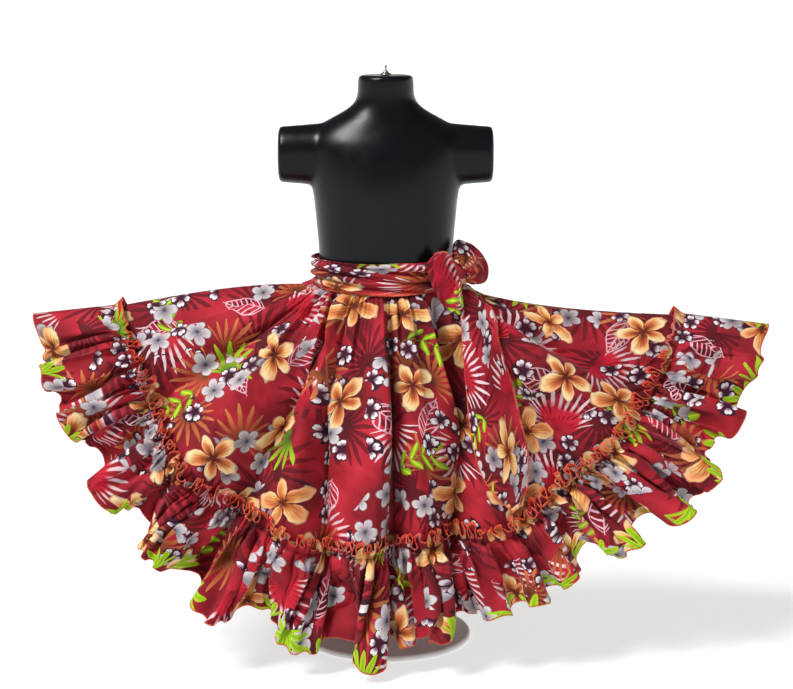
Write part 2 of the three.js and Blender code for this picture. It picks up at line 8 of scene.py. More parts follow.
# %% Load the frame
import json
import math
import bpy
import numpy as np
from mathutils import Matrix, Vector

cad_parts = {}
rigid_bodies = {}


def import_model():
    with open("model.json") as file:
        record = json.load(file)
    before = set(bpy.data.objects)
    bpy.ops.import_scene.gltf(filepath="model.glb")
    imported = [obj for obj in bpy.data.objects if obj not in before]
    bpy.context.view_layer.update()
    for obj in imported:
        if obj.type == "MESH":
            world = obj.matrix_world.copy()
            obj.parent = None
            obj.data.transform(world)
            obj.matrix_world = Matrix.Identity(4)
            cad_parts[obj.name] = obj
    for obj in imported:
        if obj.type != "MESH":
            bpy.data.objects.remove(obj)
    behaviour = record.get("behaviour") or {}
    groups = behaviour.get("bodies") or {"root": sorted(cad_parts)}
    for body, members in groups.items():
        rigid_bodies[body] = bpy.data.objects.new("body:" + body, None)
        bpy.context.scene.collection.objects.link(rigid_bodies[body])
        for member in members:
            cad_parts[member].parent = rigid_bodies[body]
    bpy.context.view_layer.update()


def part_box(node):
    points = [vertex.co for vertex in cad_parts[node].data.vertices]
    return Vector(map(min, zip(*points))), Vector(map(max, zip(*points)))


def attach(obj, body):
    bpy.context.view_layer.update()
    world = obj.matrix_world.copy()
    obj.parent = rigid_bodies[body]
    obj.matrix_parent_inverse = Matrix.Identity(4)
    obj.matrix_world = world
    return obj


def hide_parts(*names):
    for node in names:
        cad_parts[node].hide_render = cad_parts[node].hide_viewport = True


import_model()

# %% [markdown]
# ## Sizes and tables
# Every length below is in millimetres, as on a maker's sheet, and becomes metres only when a mesh is
# made. Directions are degrees in the fan: 0 is level on the wearer's left, 90 is straight down and
# 180 is level on the right. The tables are the ones that the solids were built from. `tilt` is new:
# it says how far a fold lies over sideways, which only a fine mesh can show.

# %% Sizes of the skirt
MM = 0.001
WAIST = 1000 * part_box("waistband")[0][2]  # the waist line above the floor
FORM_HALF = np.array([100.0, 80.0])  # half width and half depth of the form at its waist
CLOTH = 1.0  # the cotton is drawn 1 mm thick, so that no light leaks through its folds
FORM_GAP, SEAM_GAP = 0.8, 0.35  # between the form and the cloth, and between two panels
SOLID_WALL, SASH_WALL = 2.0, 3.0  # the walls of the solids that the cloth takes the place of
FAN_START, FAN_END = 6.0, 175.2
print(f"the waist line is {WAIST:.1f} mm up, and the fan opens {FAN_END - FAN_START:.0f} degrees")


def rows(names, *values):
    """A short table with named columns: each column is an array."""
    return dict(zip(names.split(), np.array(values, float).T))

# %% [markdown] ## The form's sections The form under the skirt is a stack of ovals. Each row has a
# height from the waist, and the half width and half depth of the oval there.

# %% The form's sections, at heights from its waist
TRUNK = rows("at half_width half_depth", (-172, 96, 76), (-166, 104, 84), (-120, 107, 87), (-60, 103, 83),
             (0, 100, 80), (50, 100, 80.5), (100, 104, 84), (130, 107, 86), (160, 112, 84), (190, 118, 77),
             (215, 117, 68), (232, 106, 59), (246, 86, 52), (258, 64, 47), (270, 48, 44), (284, 42, 42),
             (308, 41, 41), (312, 38.5, 38.5))
print("the form:", len(TRUNK["at"]), "sections")

# %% [markdown]
# ## The front of the skirt
# One side of the skirt is three tables. `reach` is the line where the flounce is sewn on. `folds` are
# the long folds: where each one stands, how wide its two flanks are, its height, how much it leans
# towards the waist, and how far it lies over. `waves` are the rolls of the hem, with their crests and
# notches. Noise alone would give a skirt like any other, and a table gives this one its own folds.

# %% The front of the skirt
FRONT = {
    "facing": -1, "seam_depth": 160, "hem_depth": 192,
    "reach": rows("at seam", (6, 452), (20, 427), (34, 408), (48, 386), (62, 392), (76, 368), (91, 370),
                  (105, 386), (122, 387), (136, 402), (150, 393), (163, 390), (175.2, 410)),
    "folds": rows(
        "at fall rise height lean tilt",
        (20, 5, 4, -18, 2, 0), (31, 7, 5, 15, -2, -.3), (43, 4, 4, -16, -10, 0), (64, 5, 8, 14, -18, .3),
        (75, 4.5, 4.5, -38, -22, 0), (82, 4, 5, 18, -3, -.2), (88, 3, 4, -28, 0, 0),
        (96, 5, 3, 26, -3, -.45), (102, 4, 4, -24, 15, 0), (110, 4, 4, 20, 13, .2),
        (125, 5, 5, -34, -1, 0), (136, 8, 5, 18, 2, .3), (154, 4, 4, -14, 3, 0), (162, 5, 4, 13, 0, .3),
        (169, 4, 3, -10, -3, 0)),
    "waves": rows(
        "at hem notch height",
        (6, 579, 568, 8), (12, 568, 548, 14), (20.5, 556, 532, 20), (30, 554, 544, 14),
        (36.5, 543, 500, 22), (46, 510, 468, 24), (57, 488, 484, 12), (63, 496, 482, 14),
        (70, 488, 476, 18), (81, 496, 492, 16), (86.5, 508, 498, 12), (92, 532, 494, 26),
        (104, 524, 486, 22), (120, 530, 500, 24), (131.5, 508, 480, 20), (144.5, 514, 488, 22),
        (158, 512, 508, 16), (165, 524, 518, 14), (175.2, 532, 532, 8)),
}
print("front:", len(FRONT["folds"]["at"]), "folds,", len(FRONT["waves"]["at"]), "waves")

# %% [markdown]
# ## The back of the skirt
# The back is the other half of the same circle. It meets the front at the two outer edges, so those
# rows are the same, and between them it has folds of its own and a little less depth.

# %% The back of the skirt
BACK = {
    "facing": 1, "seam_depth": 140, "hem_depth": 168,
    "reach": rows("at seam", (6, 452), (30, 412), (58, 390), (90, 376), (122, 388), (150, 396),
                  (175.2, 410)),
    "folds": rows(
        "at fall rise height lean tilt",
        (24, 5, 5, -16, 0, 0), (36, 6, 6, 15, -4, .3), (50, 5, 5, -24, -8, 0), (62, 6, 5, 18, -6, -.3),
        (76, 5, 4, -26, -3, 0), (88, 7, 5, 20, 0, .4), (102, 5, 5, -24, 3, 0), (115, 6, 5, 18, 6, -.4),
        (130, 5, 5, -22, 7, 0), (144, 7, 6, 15, 4, .3), (160, 5, 5, -14, 0, 0)),
    "waves": rows(
        "at hem notch height",
        (6, 579, 562, 8), (17, 562, 540, 16), (30, 552, 524, 20), (43, 532, 500, 22), (56, 510, 486, 20),
        (68, 506, 478, 24), (81, 508, 484, 20), (93, 512, 484, 24), (106, 510, 488, 20),
        (118, 514, 490, 22), (131, 510, 490, 22), (144, 514, 496, 18), (157, 520, 504, 18),
        (168, 524, 518, 12), (175.2, 532, 532, 8)),
}
print("back:", len(BACK["folds"]["at"]), "folds,", len(BACK["waves"]["at"]), "waves")

# %% [markdown]
# ## Curves and noise
# Two small helpers do most of the work. `follow` runs a smooth curve through a table, so a handful
# of rows gives a whole edge. `ripples` adds up a few sine waves of unlike lengths with a fixed seed:
# it is cheap, smooth, never repeats over the skirt, and gives the same result each run.

# %% Helpers for curves
TURN = 2 * math.pi


def smooth(x, start, end):
    """0 before start, 1 after end, and an even curve between."""
    t = np.clip((x - start) / (end - start), 0, 1)
    return t * t * (3 - 2 * t)


def bell(x, middle, width):
    """1 at the middle, and next to nothing at twice the width from it."""
    return np.exp(-((x - middle) / width) ** 2)


def follow(table, column, x):
    """A column of a table at x, on a smooth curve through its rows."""
    key, value = table["at"], table[column]
    before = np.maximum(np.arange(len(key)) - 1, 0)
    after = np.minimum(np.arange(len(key)) + 1, len(key) - 1)
    slope = (value[after] - value[before]) / (key[after] - key[before])
    i = np.clip(np.searchsorted(key, x, side="right") - 1, 0, len(key) - 2)
    span = key[i + 1] - key[i]
    t = np.clip((x - key[i]) / span, 0, 1)
    eased = t * t * (3 - 2 * t)
    bend = t * (1 - t) ** 2 * slope[i] - t * t * (1 - t) * slope[i + 1]
    return value[i] + (value[i + 1] - value[i]) * eased + bend * span


def ripples(x, length, seed, parts=5):
    """A smooth uneven wave of x, from about -1 to 1, whose crests lie about `length` apart."""
    random = np.random.default_rng(seed)
    total = 0
    for _ in range(parts):
        wave = length * random.uniform(0.65, 1.6)
        total = total + np.sin(TURN * (x / wave + random.uniform()))
    return total / math.sqrt(parts) / 1.2


def crimped(wave):
    """A wave with round crests and narrow valleys, the way gathered cloth stands."""
    return 2 * (0.5 + 0.5 * np.clip(wave, -1, 1)) ** 0.6 - 1


def unit(vectors):
    return vectors / np.maximum(np.linalg.norm(vectors, axis=-1, keepdims=True), 1e-9)


def along(grid, axis):
    """The direction of a grid of points along one of its two axes."""
    return unit(np.gradient(grid, axis=axis))


print("straight down, the stitching is", follow(FRONT["reach"], "seam", 90.0).round(), "mm from the waist")

# %% [markdown]
# ## The skirt's surface
# A panel is a sheet stretched between two curves: the gathers round the waist, and the arc of the
# flounce's stitching. Its depth grows faster near the waist than its reach does, because the gathers
# push the cloth away from the body. A simulation would drape it too, but not as this skirt hangs, and
# a formula keeps the sheet in step with the solids underneath.

# %% The panel as a formula
RIDGE_ROUNDNESS = 0.6  # how soon the side ridges open to the full depth: less is blunter
FLARE_POWER = 1.8  # how much sooner the depth grows than the reach
HIP_DROP, HIP_RISE, HIP_WIDTH = -13.0, 10.0, 0.1  # the left ridge sags, and the right one arches
CALM = 0.06  # the share of a side, next to each ridge, over which its folds die out
STEP = 0.001  # a small step on the sheet, to find its directions by


def direction_at(u):
    """The direction in the fan at a share u of a side."""
    return FAN_START + (FAN_END - FAN_START) * u


def calm(u):
    """1 along most of a side, and 0 at its two ridges."""
    return smooth(u, 0, CALM) * smooth(1 - u, 0, CALM)


def fan_point(side, u, reach, depth):
    """A point of the fan, at a reach from the middle of the waist and a depth that ends at the ridges."""
    angle = np.radians(direction_at(u))
    full = np.clip(np.sin(math.pi * u), 0, 1) ** RIDGE_ROUNDNESS
    y = side["facing"] * (depth * full + SEAM_GAP / 2)
    return np.stack([reach * np.cos(angle), y, WAIST - reach * np.sin(angle)], -1)


def plain_panel(side, u, s):
    """The panel before its folds. s runs from the gathers (0) to the flounce's stitching (1)."""
    round_waist = math.pi * u
    half = FORM_HALF + FORM_GAP + SOLID_WALL / 2
    gathers = np.full_like(u, WAIST - SEAM_GAP - SOLID_WALL / 2)
    y = side["facing"] * (half[1] * np.sin(round_waist) + SEAM_GAP / 2)
    top = np.stack([half[0] * np.cos(round_waist), y, gathers], -1)
    seam = fan_point(side, u, follow(side["reach"], "seam", direction_at(u)), side["seam_depth"])
    point = top + (seam - top) * s[..., None]
    flare = 1 - np.clip(1 - s, 0, 1) ** FLARE_POWER
    point[..., 1] = top[..., 1] + (seam[..., 1] - top[..., 1]) * flare
    hip = HIP_DROP * bell(u, 0, HIP_WIDTH) + HIP_RISE * bell(u, 1, HIP_WIDTH)
    point[..., 2] += hip * np.sin(math.pi * np.clip(s, 0, 1) ** 0.75)
    return point


def outward(side, surface, u, s):
    """The outward normal of a surface(u, s). On a side ridge it has no front-to-back part."""
    across = surface(np.minimum(1, u + STEP), s) - surface(np.maximum(0, u - STEP), s)
    down = surface(u, np.minimum(1, s + STEP)) - surface(u, np.maximum(0, s - STEP))
    normal = -side["facing"] * np.cross(across, down)
    normal[..., 1] = np.where((u <= 0) | (u >= 1), 0, normal[..., 1])
    return unit(normal)


print("the middle of the stitching in front:", plain_panel(FRONT, np.array([0.5]), np.array([1.0])).round())

# %% [markdown]
# ## Long folds and hem waves
# A long fold is a bell curve across the fan, narrower on one flank than on the other. Moving its
# points sideways as well as out makes the crest lie over, as heavy cloth does. A wave of the hem runs
# from one crest in the table to the next, and its notches are sharper than its crests.

# %% Long folds and hem waves
OVERHANG = 0.45  # how far the flanks of a fold lean out under its crest


def fold_heights(side, u, s):
    """How far the folds stand out at u, s, and how far the cloth moves sideways to lie over."""
    height, shift = 0, 0
    for at, fall, rise, high, lean, tilt in zip(*side["folds"].values()):
        away = direction_at(u) - (at + lean * (1 - s))
        away = away / np.where(away > 0, fall, rise)
        bump = high * np.exp(-away ** 2)
        height = height + bump
        shift = shift + (tilt + OVERHANG * away) * bump
    growth = smooth(s, 0, 0.08) * (0.2 + 0.8 * smooth(s, 0.05, 0.6)) * calm(u)
    return height * growth, shift * growth


def wave_at(side, u):
    """The flounce's wave at u: its phase, the reach of the hem there, and how far it swings out."""
    table, angle = side["waves"], direction_at(u)
    i = np.clip(np.searchsorted(table["at"], angle, side="right") - 1, 0, len(table["at"]) - 2)
    t = np.clip((angle - table["at"][i]) / (table["at"][i + 1] - table["at"][i]), 0, 1)
    swing = np.cos(TURN * t)
    ridge = table["hem"][i] * (1 - t) + table["hem"][i + 1] * t
    reach = table["notch"][i] + (ridge - table["notch"][i]) * ((1 + swing) / 2) ** 0.8
    height = table["height"][i] * (1 - t) + table["height"][i + 1] * t
    return t, reach, height * calm(u)


print("front folds stand out by", np.sort(FRONT["folds"]["height"]), "mm")

# %% [markdown]
# ## From a grid of points to cloth
# Each piece of cloth starts as one grid of points on its middle surface. A closed sheet needs an outer
# and an inner copy of it, and walls that join the two round the rim. The Solidify modifier could do
# that too, but a hand-made shell lets the reverse side keep its own paler material, and leaves no
# modifier to go wrong in the export.

# %% The faces of a closed shell
def shell_faces(columns, count, ring):
    """The four-cornered faces of the outer side, the inner side and the rims, and how many are outer."""
    size = columns * count
    k = np.arange(columns if ring else columns - 1)
    i, j = np.meshgrid(k, np.arange(count - 1), indexing="ij")
    here, right = i * count + j, ((i + 1) % columns) * count + j
    outer = np.stack([here, right, right + 1, here + 1], -1).reshape(-1, 4)
    top, top_next = k * count, ((k + 1) % columns) * count
    rims = [(top_next, top), (top + count - 1, top_next + count - 1)]
    if not ring:
        first = np.arange(count - 1)
        last = first + (columns - 1) * count
        rims += [(first, first + 1), (last + 1, last)]
    walls = [np.stack([a, b, b + size, a + size], -1) for a, b in rims]
    return np.concatenate([outer, outer[:, ::-1] + size] + walls), len(outer)


def lapped(uv, length, columns):
    """The UVs of a ring, with the faces across its seam moved on past the far end of the strip."""
    seam = np.ptp(uv[:, :, 0], axis=1) > 0.5 * length
    lap = uv[seam]
    before = lap[..., 0] < lap[..., 0].mean(1, keepdims=True)
    lap[..., 0] += np.where(before, length * columns / (columns - 1), 0)
    uv[seam] = lap
    return uv


print("faces of a shell of 4 x 3 points:", len(shell_faces(4, 3, False)[0]))

# %% [markdown]
# ## The place of each point on the cut
# `cloth_shell` moves the points out by half a wall on both sides. A second grid says where each point
# lay on the flat cut, in metres. That becomes the UV map, so a print drawn on it is neither stretched
# nor squeezed, and is gathered together with the cloth.

# %% Make a closed shell from a grid
FAR = 100.0  # mm from any overlocked edge


def placed(name, data):
    """A new object in the scene that holds a mesh, a lamp or a camera."""
    piece = bpy.data.objects.new(name, data)
    bpy.context.collection.objects.link(piece)
    return piece


def shade_smooth(mesh):
    mesh.polygons.foreach_set("use_smooth", np.ones(len(mesh.polygons), dtype=bool))


def cloth_shell(name, grid, flat, to_edge=None, wall=CLOTH, ring=False, flip=False):
    """A closed sheet round a grid of points (mm). flat holds each point's place on the cut (mm), and
    to_edge its distance (mm) from the nearest overlocked edge."""
    if to_edge is None:
        to_edge = np.full(grid.shape[:2], FAR)
    if flip:
        grid, flat, to_edge = grid[::-1], flat[::-1], to_edge[::-1]
    columns, count = grid.shape[:2]
    across = np.gradient(grid, axis=0)
    if ring:
        wrapped = np.concatenate([grid[-1:], grid, grid[:1]])
        across = wrapped[2:] - wrapped[:-2]
    half_wall = unit(np.cross(across, np.gradient(grid, axis=1))) * wall / 2
    points = np.concatenate([(grid + half_wall).reshape(-1, 3), (grid - half_wall).reshape(-1, 3)]) * MM
    faces, outer = shell_faces(columns, count, ring)
    mesh = bpy.data.meshes.new(name)
    mesh.from_pydata(points, [], faces)
    reverse = np.zeros(len(faces), dtype=np.int32)
    reverse[outer:2 * outer] = 1
    mesh.polygons.foreach_set("material_index", reverse)
    shade_smooth(mesh)
    place = np.concatenate([flat.reshape(-1, 2)] * 2) * MM
    uv = place[faces.ravel()].reshape(-1, 4, 2)
    if ring:
        uv = lapped(uv, np.ptp(flat[..., 0]) * MM, columns)
    mesh.uv_layers.new(name="cloth").data.foreach_set("uv", uv.ravel())
    edge = mesh.attributes.new("to_edge", "FLOAT", "POINT")
    edge.data.foreach_set("value", np.concatenate([to_edge.ravel()] * 2) * MM)
    mesh.update()
    mesh.validate()
    print(f"{name}: {columns} x {count} points, {2 * len(faces)} triangles")
    return placed(name, mesh)


def grid_of(columns, count, start=0.0, end=1.0):
    """Two grids of shares: the first runs from 0 to 1 over the columns, the second along each."""
    return np.meshgrid(np.linspace(0, 1, columns), np.linspace(start, end, count), indexing="ij")


def run_lengths(grid, axis):
    """How far along each row of a grid its points lie, from 0."""
    steps = np.linalg.norm(np.diff(grid, axis=axis), axis=-1)
    first = np.zeros_like(np.take(steps, [0], axis=axis))
    return np.cumsum(np.concatenate([first, steps], axis=axis), axis=axis)


print("a grid of 3 x 2 runs along", run_lengths(np.dstack(grid_of(3, 2)), 0)[:, 0])

# %% [markdown]
# ## Pleats under the waistband
# A gathered panel has three sizes of fold. The large ones are in the side's own table. Next come
# pleats pressed in under the waistband: each falls steeply on one side and gently on the other, and
# dies out some way down. The front's are listed one by one, and the back's are drawn at random.

# %% Pleats under the waistband
WAIST_PLEATS = rows(
    "top foot height gentle steep until face",
    (166, 166, 6, 5, 2, .7, 1), (155, 158, 9, 7, 2, .9, 1), (143, 140, 10, 6, 1.8, .8, 1),
    (134, 121, 12, 5, 1.6, .9, 1), (130, 113, -11, 3, 3, .9, 1), (125, 105, 14, 6, 1.3, 1, -1),
    (111, 100, 6, 4, 1.4, .5, 1),
    (95, 92, 12, 8, 1.4, 1.4, 1), (84, 85, 7, 5, 1.4, .5, 1), (77, 78, 8, 5, 1.4, .7, 1),
    (67, 68, 20, 6, 1.4, .95, 1), (51, 57, -34, 7, 4, 1.1, 1), (36, 38, 9, 5, 1.6, .8, -1),
    (25, 28, 9, 6, 2, .8, -1), (15, 17, 6, 5, 2, .7, -1))


def pleats_of(side):
    """The table of a side's pleats."""
    if side is FRONT:
        return WAIST_PLEATS
    random = np.random.default_rng(14)
    at = np.arange(18, 168, 11)
    count = len(at)
    at = at + random.uniform(-3, 3, count)
    return {"top": at, "foot": 90 + (at - 90) * 0.95, "height": random.uniform(6, 13, count),
            "gentle": random.uniform(4, 7, count), "steep": random.uniform(1.4, 2, count),
            "until": random.uniform(0.45, 1.1, count), "face": random.choice([-1, 1], count)}


def waist_pleats(side, u, s):
    """Height and sideways shift of pleats that fall steeply on one side and gently on the other."""
    height, shift = 0, 0
    for top, foot, high, gentle, steep, until, face in zip(*pleats_of(side).values()):
        away = face * (direction_at(u) - (top + (foot - top) * np.clip(s / 0.6, 0, 1)))
        bump = np.where(away > 0, np.exp(-np.abs(away) / gentle), bell(away, 0, steep))
        bump = high * bump * (1 - smooth(s, 0.3 * until, until))
        height = height + bump
        shift = shift - 0.04 * face * bump * np.abs(bump)
    growth = smooth(s, 0, 0.06) * calm(u)
    return height * growth, np.clip(shift, -7, 7) * growth


print("pleats in front:", len(pleats_of(FRONT)["top"]), "- behind:", len(pleats_of(BACK)["top"]))

# %% [markdown]
# ## Small folds of a panel
# Small gathers start at the waistband every few millimetres, and each runs down a different length
# before it dies. Long drag lines and a little crumple finish it, since worn cotton is never ironed
# smooth. They are all heights added along the same normal, so none can tear the sheet.

# %% Small folds of a panel
GATHERS = 64  # small gathers across one side
DRAG, CRUMPLE, BUNCH, CRIMP = 3.6, 2.0, 1.8, 3.2  # heights in mm
SETTLE = 4  # the mean height of the gathers, which is taken off again


def small_folds(side, u, s):
    """Gathers under the waistband, drag lines and crumple, as a height in millimetres."""
    random = np.random.default_rng(11 if side is FRONT else 12)
    height = 0
    for k in range(GATHERS):
        at = (k + random.uniform(0.15, 0.85)) / GATHERS
        width = random.uniform(0.35, 0.75) / GATHERS
        length = random.choice([0.12, 0.25, 0.5], p=[0.45, 0.35, 0.2]) * random.uniform(0.7, 1.3)
        lean = random.uniform(-0.012, 0.012)
        bump = np.exp(-((u - at - lean * s) / (width * (1 + 1.5 * s))) ** 2)
        height = height + random.uniform(3.0, 6.5) * bump * np.exp(-s / length)
    drag = ripples(u + 0.03 * s, 0.045, 21) * bell(s, 0.4, 0.4)
    middle = bell(u, 0.55, 0.28)
    crumple = ripples(u + 0.3 * s, 0.021, 31) * ripples(s - 0.4 * u, 0.13, 32)
    bunched = crimped(ripples(u, 0.012, 33)) * smooth(s, 0.82, 1)
    waist = CRIMP * crimped(ripples(u + 0.02 * s, 0.024, 34)) * np.exp(-s / 0.2)
    edge = smooth(s, 0, 0.03) * calm(u)
    height = height - SETTLE + waist + DRAG * crimped(drag) * (0.5 + middle)
    return (height + CRUMPLE * crumple + BUNCH * bunched) * edge


def all_folds(side, u, s):
    """Height and sideways shift of all the folds of a panel together."""
    height, shift = fold_heights(side, u, s)
    pleat_height, pleat_shift = waist_pleats(side, u, s)
    return height + pleat_height + small_folds(side, u, s), shift + pleat_shift


print("small gathers across one side:", GATHERS)

# %% [markdown]
# ## Making the panels
# The sheet is now raised by all its folds. A deep pleat could push it into the form, so such points
# are moved level to the form's surface. The flat cut of half a circle skirt is a sector: its rays fan
# out from a hole for the waist, and its outer edge is as long as the folded edge is when stretched.

# %% The two panels
WAIST_HOLE = 0.34  # the hole's radius, as a share of the panel's length
BACK_CUT_AT = 2300  # mm: where the back was cut from the printed cloth


def clear_of_form(point, gap=1.6):
    """The points, with any that a deep fold has pushed into the form moved level to its surface."""
    height = point[..., 2] - WAIST
    wide, deep = follow(TRUNK, "half_width", height) + gap, follow(TRUNK, "half_depth", height) + gap
    inside = np.hypot(point[..., 0] / wide, point[..., 1] / deep)
    level = point[..., :2] / np.minimum(inside, 1)[..., None]
    return np.concatenate([level, point[..., 2:]], -1)


def dressed_panel(side, u, s):
    """The panel with all its folds, and its normal before they were raised."""
    plain = plain_panel(side, u, s)
    normal = outward(side, lambda a, b: plain_panel(side, a, b), u, s)
    ahead = plain_panel(side, np.minimum(1, u + STEP), s)
    behind = plain_panel(side, np.maximum(0, u - STEP), s)
    height, shift = all_folds(side, u, s)
    point = plain + normal * height[..., None] + unit(ahead - behind) * shift[..., None]
    return clear_of_form(point), normal


def make_panel(name, side, columns, count):
    """The sheet of one side, and its cut: the size of the sector's box and the sector's area."""
    u, s = grid_of(columns, count)
    grid, _ = dressed_panel(side, u, s)
    down = run_lengths(plain_panel(side, u, s), 1)
    outer_edge = run_lengths(grid[:, -1:], 0)[:, 0]
    inner = WAIST_HOLE * down[:, -1].mean()
    outer = inner + down[:, -1].mean()
    spread = outer_edge[-1] / outer
    turn = ((outer_edge / outer_edge[-1] - 0.5) * spread)[:, None]
    flat = np.stack([(inner + down) * np.sin(turn), -(inner + down) * np.cos(turn)], -1)
    if side is BACK:
        flat[..., 0] = BACK_CUT_AT - flat[..., 0]
    wide, deep = np.ptp(flat.reshape(-1, 2), axis=0) * MM
    print(f"{name}: a sector of {math.degrees(spread):.0f} degrees, {wide:.2f} x {deep:.2f} m")
    cut = {"flat": (wide, deep), "area": spread * (outer ** 2 - inner ** 2) / 2 * MM ** 2}
    return cloth_shell(name, grid, flat, flip=side is BACK), cut


panel_front, front_cut = make_panel("skirt_panel_front", FRONT, 520, 88)
panel_back, back_cut = make_panel("skirt_panel_back", BACK, 360, 62)

# %% [markdown]
# ## Gathers along the stitching
# The flounce is a straight strip, gathered to about half its length and sewn on over the panel. The
# gathers are tight along the stitching, and they join in twos and threes into pleats. Both are waves
# whose phase wanders a little, since no hand spaces its gathers evenly.

# %% Gathers and pleats of the flounce
PLEATS = 108  # gathers along the stitching of one side
ROLLS = 36  # pleats that the gathers join into
FRILL_GAP = 0.7  # mm between the panel and the flounce


def gather_waves(side, u, seed):
    """Phase and uneven strength of the tight gathers along the stitching."""
    seam, _ = dressed_panel(side, u[:, :1], np.ones_like(u[:, :1]))
    share = run_lengths(seam, 0)
    share = share / share[-1]
    phase = TURN * (PLEATS * share + 0.5 * ripples(share, 0.023, seed))
    strength = 0.82 + 0.42 * ripples(share, 0.03, seed + 1)
    return phase, strength * calm(u[:, :1])


def sewn_line(side, u, s, lift):
    """Points a little way off the dressed panel, where the flounce is sewn on."""
    point, normal = dressed_panel(side, u, s)
    return point + normal * lift[..., None], normal


def roll_phase(u, slant, seed):
    """The phase of the pleats that the gathers join into. slant moves them sideways on their way down."""
    return TURN * (ROLLS * u + 0.75 * ripples(u + slant, 0.055, seed))


print("gathers along one side:", PLEATS, "- pleats that they join into:", ROLLS)

# %% [markdown]
# ## The flounce
# Below the stitching the pleats merge into the large rolling waves of the hem. Each wave is a sine
# with a sideways part that doubles its pace: that part draws the flanks in under the crest, so the
# roll overhangs like a real one instead of waving like a flag.

# %% The flounce below its stitching
ROLL = 0.42  # how far a wave's flanks draw in
PLEAT_DEPTH, PUFF, SAG, WRINKLE = 11, 6.0, 3.0, 3.0  # heights in mm


def flounce_body(side, columns, count, seed):
    """The flounce from its stitching (q is 0) to its hem (q is 1)."""
    u, q = grid_of(columns, count)
    seam, normal = sewn_line(side, u, np.ones_like(u), np.full_like(u, SOLID_WALL + FRILL_GAP))
    t, reach, height = wave_at(side, u)
    crinkle = 3.5 * crimped(np.cos(roll_phase(u, 0, seed + 3))) * calm(u)
    hem = fan_point(side, u, reach + crinkle, side["hem_depth"])
    hem = hem + normal * (fold_heights(side, u, np.ones_like(u))[0] / 2)[..., None]
    point = seam + (hem - seam) * q[..., None]
    sideways = along(plain_panel(side, u, np.ones_like(u)), 0)
    phase, strength = gather_waves(side, u, seed)
    dies = np.exp(-(q / (0.30 + 0.11 * ripples(u, 0.05, seed + 2))) ** 1.3)
    tight = strength * (1.3 + 3.6 * smooth(q, 0, 0.06)) * dies
    swing = height * smooth(q, 0, 0.95)
    # The pleats start deep and open towards the hem.
    roll = roll_phase(u, 0.012 * np.sin(math.pi * q) * ripples(u, 0.11, seed + 9), seed + 3)
    pleats = (PLEAT_DEPTH + 4.5 * ripples(u, 0.04, seed + 12)) * smooth(q, 0.0, 0.2) * calm(u)
    pleats = pleats * (1 - 0.65 * smooth(q, 0.45, 1))
    small = WRINKLE * crimped(ripples(u + 0.01 * q, 0.009, seed + 4)) * smooth(q, 0.02, 0.2)
    small = small * (1 - 0.6 * smooth(q, 0.5, 1)) * calm(u)
    bulge = PUFF * np.sin(math.pi * np.clip(q / 0.42, 0, 1)) * calm(u)
    puff = bulge * (1 + 0.5 * ripples(u, 0.035, seed + 10))
    sag = SAG * ripples(q + 3 * u, 0.5, seed + 5) * calm(u) * q
    lift = swing * np.cos(TURN * t) + small + puff + sag + tight * crimped(np.cos(phase))
    lift = lift + pleats * crimped(np.cos(roll))
    shift = ROLL * swing * np.sin(4 * math.pi * t) + 0.5 * tight * np.sin(2 * phase)
    shift = shift + pleats * (0.5 * np.sin(2 * roll) + 0.5 * ripples(u, 0.06, seed + 6) * np.cos(roll))
    return point + normal * lift[..., None] + sideways * shift[..., None]


print("a pleat of the flounce is", PLEAT_DEPTH, "mm deep, and a wave of the hem up to",
      FRONT["waves"]["height"].max(), "mm")

# %% [markdown]
# ## The frill
# The strip is sewn on a little below its upper edge, and that edge stands up as a crinkled frill. It
# uses the flounce's own gathers, many times tighter, until they loop. A crest leans over, so its edge
# sits lower, and a trough stands tall: that is what scribbles the edge as seen from the front.

# %% The frill above the stitching
HEADING_DEPTH, HEADING_FLARE = 19.0, 10.4  # mm that it stands up, and leans off the panel
PANEL_LENGTH = 380  # mm of panel above the stitching, which the frill lies in front of


def flounce_frill(side, columns, count, seed):
    """The frill from the stitching (up is 0) to its free edge (up is 1)."""
    u, up = grid_of(columns, count)
    s = 1 - HEADING_DEPTH / PANEL_LENGTH * up
    stand = SOLID_WALL + FRILL_GAP + HEADING_FLARE * up ** 1.3
    point, normal = sewn_line(side, u, s, stand)
    sideways = along(plain_panel(side, u, s), 0)
    upwards = along(plain_panel(side, u, s), 1)
    phase, strength = gather_waves(side, u, seed)
    loops = strength * (1.6 + 3.9 * up ** 0.8)
    lift = loops * np.cos(phase) + ripples(u + 0.01 * up, 0.013, seed + 7) * up
    shift = (0.5 + 0.2 * up) * loops * np.sin(2 * phase) + 2.5 * up * ripples(u, 0.04, seed + 8) * calm(u)
    falls = (1.7 * loops * np.cos(phase) + 4.0 * ripples(u, 0.009, seed + 11) * calm(u)) * up
    return point + normal * lift[..., None] + sideways * shift[..., None] - upwards * falls[..., None]


print(f"frill: {HEADING_DEPTH:.0f} mm up the panel")

# %% [markdown]
# ## Making the flounces
# Body and frill are one strip on the cut, so their flat places share one line, the stitching. The
# strip's length is measured low on the finished folds. `print_at` says where each strip lies on the
# printed cloth, whose border of large leaves runs along the hem.

# %% The two flounces
STRETCHED = 0.85  # how far down the folds the length of the strip is measured
THREAD_SHOWS = 0.55  # how close to its edge the frill counts as lying, for the band of thread


